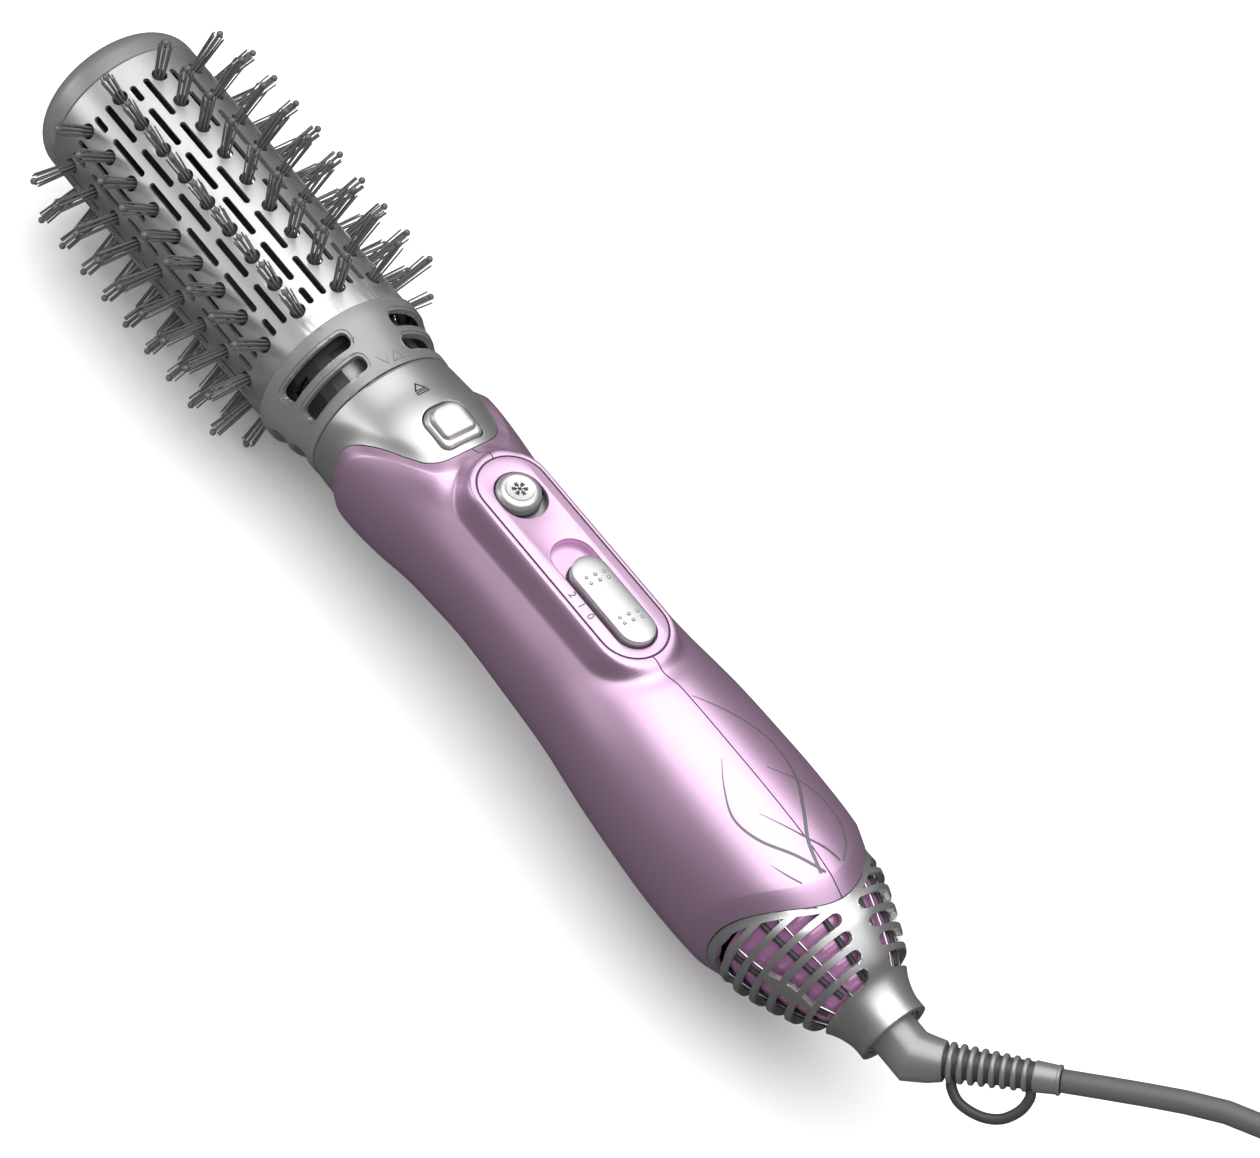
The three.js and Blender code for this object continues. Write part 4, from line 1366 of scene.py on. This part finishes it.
@dataclass
class Inlet:
    """The silver ribbed inlet, the mauve liner behind it and the collar that ends the handle."""

    form: HandleForm
    gap: float = 0.3
    wall: float = 1.9
    sink: float = 1.2
    border: float = 3.3
    first: float = 278.2
    pitch: float = 4.55
    window: float = 2.95
    count: int = 7
    spine: float = 3.1       # half the width of the solid strip along the top
    leaf_angle: float = 78.0
    leaf_front: float = 287.0
    leaf_rear: float = 303.6
    leaf_half: float = 2.1
    least_leaf: float = 1.5  # degrees from which the leaf splits a window
    rear: float = 316.2
    liner_depth: float = 3.6
    posts: int = 10

    def leaf(self, x: float) -> float:
        """Returns half the leaf's width in degrees at a place along X."""
        share = (x - self.leaf_front) / (self.leaf_rear - self.leaf_front)
        if not 0 < share < 1:
            return 0.0
        return math.degrees(self.leaf_half * math.sin(math.pi * share) / self.form.radius(x))

    def window_start(self, x: float, middle: float) -> float:
        """Returns the angle where a window starts, which is its other end too, mirrored."""
        radius = self.form.radius(x)
        off = abs(x - middle)
        half = self.window / 2
        corner = half - math.sqrt(max(half * half - off * off, 0))
        spine = math.degrees((self.spine + corner) / radius)
        bow = min(max((x - self.border - self.form.inlet_side) / self.form.inlet_bow, 0), 1)
        border = math.degrees(math.acos(bow ** (1 / self.form.inlet_power)))
        return max(spine, border)

    def tool(self, middle: float, part: Part) -> Piece:
        """Makes the tool for one window, or for its part above or below the leaf."""
        low, high = middle - self.window / 2, middle + self.window / 2

        def place(across: float, along: float) -> Vector:
            x = low + (high - low) * along
            start = self.window_start(x, middle)
            end = 180 - start
            if part is Part.ABOVE_LEAF:
                end = self.leaf_angle - self.leaf(x)
            elif part is Part.BELOW_LEAF:
                start = self.leaf_angle + self.leaf(x)
            return self.form.skin(x, start + (end - start) * across, 2.5)

        return close_up(thickened(sheet(30, 8, place), 8))

    def windows(self) -> list[Piece]:
        """Makes the tools for every window of the right side."""
        tools = []
        for i in range(self.count):
            middle = self.first + i * self.pitch
            split = self.leaf(middle) > self.least_leaf
            parts = (Part.ABOVE_LEAF, Part.BELOW_LEAF) if split else (Part.WHOLE,)
            tools += [self.tool(middle, part) for part in parts]
        return tools

    def outer(self, x: float, angle: float) -> Vector:
        """Returns a point of the shell's outer face."""
        start = self.form.inlet_start(angle) + self.gap
        return self.form.skin(x, angle, -self.sink * (1 - smooth_step(0, 7, x - start)))

    def exact(self, point: Vector) -> Vector | None:
        """Returns the normal at a point of the shell's outer face."""
        x, angle = point.x, math.degrees(math.atan2(point.y, point.z))
        spot = self.outer(x, angle)
        if x > self.rear - 1.2 or (spot - point).length > 0.05:
            return None
        return (self.outer(x, angle + 1.5) - self.outer(x, angle - 1.5)).cross(
            self.outer(x - 0.4, angle) - self.outer(x + 0.4, angle)).normalized()

    def build(self, bench: Workbench) -> None:
        """Builds the ribbed shell, the liner with its rods and the bush."""
        rows = spaced((0, 1), (1, 1 / 40))

        def place(across: float, along: float) -> Vector:
            start = self.form.inlet_start(360 * across) + self.gap
            return self.outer(start + (self.rear - start) * pick(rows, along), 360 * across)

        shell = thickened(sheet(144, len(rows) - 1, place), self.wall)
        for tool in self.windows():
            mirrored = close_up(copied(tool, Matrix.Scale(-1, 4, (0, 1, 0))))
            cut(shell, joined([tool, mirrored]))
        rounded(shell, 0.36, 3, 45)
        bench.done(shell, "ribbed_inlet", Body.HANDLE, Look.SILVER, ["rear_grille"], 50,
                   self.exact)
        self.build_liner(bench)
        bush = turned([(308.6, 6.55), (308.6, 7.4), (315.4, 7.4), (315.7, 7.2), (315.7, 6.75),
                       (315.4, 6.55)], closed=True)
        bench.done(bush, "mauve_bush", Body.HANDLE, Look.PINK_GLOSS, ["swivel_bush"])

    def bars(self, angle: float, lift: float, places: np.ndarray, radius: float) -> list[Piece]:
        """Makes the short rods of one bar that follows the shell."""
        line = [self.form.skin(float(x), angle, lift) for x in places]
        return [rod(a, b, radius, 8) for a, b in zip(line, line[1:])]

    def build_liner(self, bench: Workbench) -> None:
        """Builds the mauve liner in humps, its dark posts and its bright rods."""
        outer = []
        for x in np.linspace(277, 305.5, 90):
            hump = 0.55 * abs(math.sin(math.pi * (x - self.first) / self.pitch))
            outer.append((float(x), self.form.radius(float(x)) - self.liner_depth - 0.55 + hump))
        inner = [(x, radius - 1.3) for x, radius in reversed(outer)]
        liner = turned([*outer, *inner], 96, closed=True)
        bench.done(liner, "mauve_liner", Body.HANDLE, Look.PINK_GLOSS, ["inlet_filter"])
        posts, rods = [], []
        for i in range(self.posts):
            angle = 18 + 360 * i / self.posts
            posts += self.bars(angle, -self.liner_depth + 0.35, np.linspace(279, 304, 7), 0.8)
            rods += self.bars(angle + 11, -2.3, np.linspace(279, 305, 8), 0.36)
        bench.done(joined(posts), "liner_posts", Body.HANDLE, Look.DARK)
        bench.done(joined(rods), "liner_rods", Body.HANDLE, Look.STEEL)


# ---------------------------------------------------------------- cord


@dataclass
class Swivel:
    """The turning elbow, the ribbed strain relief and the hanging loop."""

    corner: float = 323.5
    radius: float = 6.2
    way: Vector = field(default_factory=lambda: Vector((0.762, 0.532, 0.37)).normalized())
    loop_way: Vector = field(default_factory=lambda: Vector((0.627, -0.46, -0.629)).normalized())
    relief_start: float = 7.8
    relief_end: float = 35.5
    start_radius: float = 4.9
    end_radius: float = 3.5
    ridges: int = 8
    ridge_first: float = 8.6
    ridge_pitch: float = 2.55
    loop_radius: float = 1.3
    loop_line: tuple[Spot, ...] = (  # how far along the arm, and how far off it
        (9.6, 3.4), (10.1, 6.2), (12.5, 9.4), (17.6, 11.5), (22.6, 11.3), (26.6, 8.8), (28.6, 5.6),
        (28.7, 3.2))

    def along(self, distance: float, side: float = 0.0) -> Vector:
        """Returns a point along the arm from the corner, moved toward the loop."""
        return Vector((self.corner, 0, 0)) + self.way * distance + self.loop_way * side

    def onto_arm(self) -> Matrix:
        """Returns the move that lays a piece made about X along the arm."""
        turn = Vector((1, 0, 0)).rotation_difference(self.way).to_matrix().to_4x4()
        return Matrix.Translation((self.corner, 0, 0)) @ turn

    def elbow(self) -> Piece:
        """Makes the mitred pipe."""
        bisector = (Vector((1, 0, 0)) + self.way).normalized()
        stations = [(301.4, 0.0), (301.4, 8.6), (303.4, 8.6), (303.4, self.radius), (312, self.radius),
                    (320, self.radius)]
        arm = [(4.0, 5.75), (7.0, 5.1), (7.5, 5.0), (7.7, 4.8), (7.7, 0.0)]
        around = self.onto_arm()

        def place(across: float, along: float) -> Vector:
            turn = TURN * across
            row = round(along * (len(stations) + len(arm)))
            spoke = Vector((0, math.sin(turn), math.cos(turn)))
            if row < len(stations):
                x, radius = stations[row]
                return Vector((x, 0, 0)) + spoke * radius
            if row == len(stations):
                rim = spoke * self.radius
                return Vector((self.corner - rim.dot(bisector) / bisector.x, rim.y, rim.z))
            distance, radius = arm[row - len(stations) - 1]
            return around @ (Vector((distance, 0, 0)) + spoke * radius)

        return close_up(sheet(64, len(stations) + len(arm), place))

    def relief(self) -> Piece:
        """Makes the sleeve with its ridges."""
        def sleeve(t: float) -> float:
            share = (t - self.relief_start) / (self.relief_end - self.relief_start)
            return self.start_radius + (self.end_radius - self.start_radius) * share

        profile = [(self.relief_start, 0.0), (self.relief_start, 3.0)]
        for i in range(self.ridges):
            t = self.ridge_first + i * self.ridge_pitch
            high = sleeve(t) + 0.1
            profile += [(t, 3.0), (t + 0.05, high - 0.4), (t + 0.3, high - 0.08), (t + 0.7, high),
                        (t + 1.1, high - 0.08), (t + 1.35, high - 0.4), (t + 1.4, 3.0)]
        plain = self.ridge_first + self.ridges * self.ridge_pitch
        end, radius = self.relief_end, self.end_radius
        profile += [(plain, 3.0), (plain + 0.05, sleeve(plain) - 0.3), (plain + 0.4, sleeve(plain)),
                    (end - 0.9, radius), (end - 0.7, radius + 0.2), (end - 0.2, radius + 0.2),
                    (end, radius), (end, 0.0)]
        piece = turned(profile, 48)
        piece.data.transform(self.onto_arm())
        return piece

    def loop(self) -> Piece:
        """Makes the hanging loop as a bent round bar."""
        line = curve_through([self.along(*spot) for spot in self.loop_line], 6)
        piped(line, self.loop_radius, 4)
        bpy.ops.object.convert(target="MESH")
        return close_up(bpy.context.object)

    def build(self, bench: Workbench) -> None:
        """Builds the three pieces."""
        bench.done(self.elbow(), "elbow_pipe", Body.SWIVEL, Look.ELBOW, ["cord_elbow"], 25)
        bench.done(self.relief(), "ribbed_sleeve", Body.SWIVEL, Look.ELBOW, ["strain_relief"], 40,
                   slot="cord_rubber")
        core = rod(self.along(self.relief_start - 0.4), self.along(29.4), 3.75, 32, 3.4)
        bench.done(core, "sleeve_core", Body.SWIVEL, Look.DARK)
        bench.done(self.loop(), "hang_loop", Body.SWIVEL, Look.DARK, ["hanging_loop"])


@dataclass
class MainsLead:
    """The 1.8 m lead: from the sleeve out of view, down onto a three-layer coil, and to the plug."""

    length: float = 1.8
    radius: float = 2.85
    floor: float = -37.0
    start: Spot3 = (350.8, 19.0, 13.2)
    way_down: tuple[Spot3, ...] = (
        (357.8, 23.9, 16.6), (365.4, 29.2, 20.2), (373.0, 34.4, 23.6), (380.8, 39.4, 26.4),
        (389.0, 43.8, 27.8), (397.6, 47.3, 27.3), (406.4, 49.4, 24.4), (415.2, 49.9, 18.9),
        (423.6, 48.6, 11.4), (431.4, 45.5, 3.0), (438.3, 40.8, -4.8), (444.2, 34.6, -11.0),
        (448.9, 27.2, -15.3))
    coil: Spot = (422.0, 6.0)
    layers: tuple[tuple[float, float, float, int], ...] = (
        (15.5, 31.1, 36.9, 2), (9.75, 36.9, 25.2, 3), (4.0, 25.2, 36.9, 3))
    tail: tuple[Spot3, ...] = (
        (396.0, -30.8, -32.8), (391.0, -31.0, -32.2), (386.0, -31.0, -30.8), (381.5, -31.0, -30.4))
    steps_per_turn: int = 24
    plug_y: float = -31.0
    pin_height: float = 6.6
    pin_offset: float = 9.3

    def turns(self) -> list[Vector]:
        """Works out the coil's turns, from where the lead lands to where it leaves for the plug."""
        x, y = self.coil
        landing = self.way_down[-1]
        angle = math.atan2(landing[1] - y, landing[0] - x)
        found = []
        leave = -math.pi / 2
        for layer, (height, first, last, turns) in enumerate(self.layers):
            sweep = turns * TURN
            if layer == 0:
                lead_in = (angle - leave) % TURN
                sweep = lead_in + (turns - 1) * TURN
            steps = round(sweep / TURN * self.steps_per_turn)
            for i in range(steps):
                share = i / steps
                radius = first + (last - first) * share
                drop = 0.0
                if layer < len(self.layers) - 1:
                    drop = (height - self.layers[layer + 1][0]) * smooth_step(1 - 0.5 / turns, 1, share)
                found.append(Vector((x + radius * math.cos(angle), y + radius * math.sin(angle),
                                     self.floor + height - drop)))
                angle -= sweep / steps
        found.append(Vector((x, y - self.layers[-1][2], self.floor + self.layers[-1][0])))
        return found

    def build(self, bench: Workbench) -> None:
        """Builds the lead, and dresses its tie and plug."""
        line = [Vector(self.start), *map(Vector, self.way_down), *self.turns()[1:], *map(Vector, self.tail)]
        lead = piped([bench.into_frame @ spot for spot in line], self.radius * MM, 5, "NURBS",
                     order_u=2, use_endpoint_u=True, resolution_u=6)
        lead.name = "mains_lead"
        lead.data.materials.append(bench.material(Look.RUBBER))
        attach(lead, Body.SWIVEL.value)
        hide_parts("power_cord", "cord_coil", "cord_tail")
        self.plug(bench)
        self.tie(bench)
        bench.into_frame @ Vector(self.start)

    def plug(self, bench: Workbench) -> None:
        """Builds the plug and its two pins."""
        outline = Outline(345.2, 380.8, 12.8, 2.0, 8.0)
        shell = lofted(outline, [(12.7, 0.15), (1.2, 0.15), (0.5, 0.4), (0.1, 1.2), (0, 2.4), (0, 10.6),
                                 (0.1, 11.8), (0.5, 12.6), (1.2, 12.95), (12.7, 12.95)])
        for vertex in shell.data.vertices:
            share = smooth_step(362, 380, vertex.co.x)
            vertex.co.y *= 1 - 0.6 * share
            vertex.co.z = self.pin_height + (vertex.co.z - self.pin_height) * (1 - 0.35 * share)
        shell.data.transform(Matrix.Translation((0, self.plug_y, self.floor)))
        bench.done(shell, "plug_shell", Body.SWIVEL, Look.RUBBER, ["plug_body"], 40)
        pins = []
        for side in (-self.pin_offset, self.pin_offset):
            pin = turned([(325.7, 0), (325.8, 1.0), (326.5, 1.8), (327.5, 2.0), (345.4, 2.0),
                          (345.4, 0)], 24)
            pin.data.transform(Matrix.Translation((0, self.plug_y + side, self.floor + self.pin_height)))
            pins.append(pin)
        bench.done(joined(pins), "plug_prongs", Body.SWIVEL, Look.BRASS,
                   ["plug_pin_a", "plug_pin_b"])

    def tie(self, bench: Workbench) -> None:
        """Builds the strap round the coil's turns."""
        x, y = self.coil
        outer = Outline(x - 40.9, x - 21.1, 9.95, 4.0, 4.0)
        strap = plate([outer.points(), outer.points(0.8)], -4.4, 4.4, 0.2)
        upright = Matrix.Rotation(math.pi / 2, 4, "X")
        strap.data.transform(Matrix.Translation((0, y, self.floor + 9.99)) @ upright)
        bench.done(strap, "coil_strap", Body.SWIVEL, Look.DARK, ["cord_tie"])


# ---------------------------------------------------------------- studio


@dataclass
class Studio:
    """The floor, the lights and the camera."""

    position: Spot3 = (0.326485, -0.447812, 0.745315)
    right: Spot3 = (0.60703, 0.75798, 0.23870)
    up: Spot3 = (-0.71576, 0.39100, 0.57862)
    lens: float = 102.0

    def camera(self) -> None:
        """Sets up the camera."""
        data = bpy.data.cameras.new("studio_camera")
        data.lens = self.lens
        data.sensor_width = 36
        camera = bpy.data.objects.new("studio_camera", data)
        bpy.context.scene.collection.objects.link(camera)
        right, up = Vector(self.right).normalized(), Vector(self.up).normalized()
        back = right.cross(up).normalized()
        up = back.cross(right)
        turn = Matrix((right, up, back)).transposed().to_4x4()
        camera.matrix_world = Matrix.Translation(self.position) @ turn
        bpy.context.scene.camera = camera

    def light(self, name: str, spot: Spot3, aim: Spot3, size: Spot, power: float) -> None:
        """Adds one softbox."""
        data = bpy.data.lights.new(name, "AREA")
        data.shape = "RECTANGLE"
        data.size, data.size_y = size
        data.energy = power
        lamp = bpy.data.objects.new(name, data)
        bpy.context.scene.collection.objects.link(lamp)
        lamp.location = spot
        lamp.rotation_euler = (Vector(aim) - Vector(spot)).to_track_quat("-Z", "Y").to_euler()

    def build(self) -> None:
        """Builds the stage."""
        self.camera()
        floor = fresh(bpy.ops.mesh.primitive_grid_add, x_subdivisions=4, y_subdivisions=4, size=8)
        floor.name = "floor"
        paint = ShaderSheet("pale_floor")
        paint.shade(Base_Color=paint.blend(paint.noise(3, 1), (0.8, 0.8, 0.8), (0.84, 0.84, 0.84)),
                    Roughness=0.8)
        floor.data.materials.append(paint.material)
        floor.visible_glossy = False
        self.light("overhead_softbox", (0.0, 0.08, 0.92), (0.0, 0.09, 0), (1.4, 1.3), 15)
        self.light("tip_card", (-0.85, -0.75, 0.32), (0, 0, 0.03), (0.5, 0.4), 2.2)
        world = bpy.data.worlds.new("studio")
        world.use_nodes = True
        sky = world.node_tree.nodes["Background"].inputs
        sky["Color"].default_value = (1.0, 1.0, 1.0, 1)
        sky["Strength"].default_value = 0.8
        world.cycles_visibility.glossy = False
        bpy.context.scene.world = world
        bpy.context.scene.view_settings.view_transform = "Standard"


def main() -> None:
    """Builds the studio, then the brush from its cord to its tip."""
    logging.basicConfig(level=logging.INFO, format="%(message)s")
    Studio().build()
    bench = Workbench()
    MainsLead().build(bench)
    Swivel().build(bench)
    form, island, panel = HandleForm(), Island(), ControlPanel()
    Inlet(form).build(bench)
    Shells(form, island).build(bench, panel.outline.grown(0.45), ((153, -12), (213, -12)))
    release = ReleaseButton()
    Collar(form).build(bench, release.outline.grown(0.45))
    Swirls(form).build(bench)
    panel.build(bench)
    CoolButton().build(bench)
    Slider().build(bench)
    release.build(bench)
    barrel = Barrel()
    barrel.build(bench)
    BristleRows(barrel).build(bench)
    BaseRing().build(bench)
    TwistCap().build(bench)
    bench.dress(Look.STEEL, "handle_screw_front", "handle_screw_rear", "heater_coil", "thermostat",
                "motor_can", "motor_shaft")
    bench.dress(Look.MICA, "heater_tube", "heater_cross")
    bench.dress(Look.DARK, "motor_mount", "fan_impeller")
    bench.dress(Look.BOARD, "circuit_board")


if __name__ == "__main__":
    main()
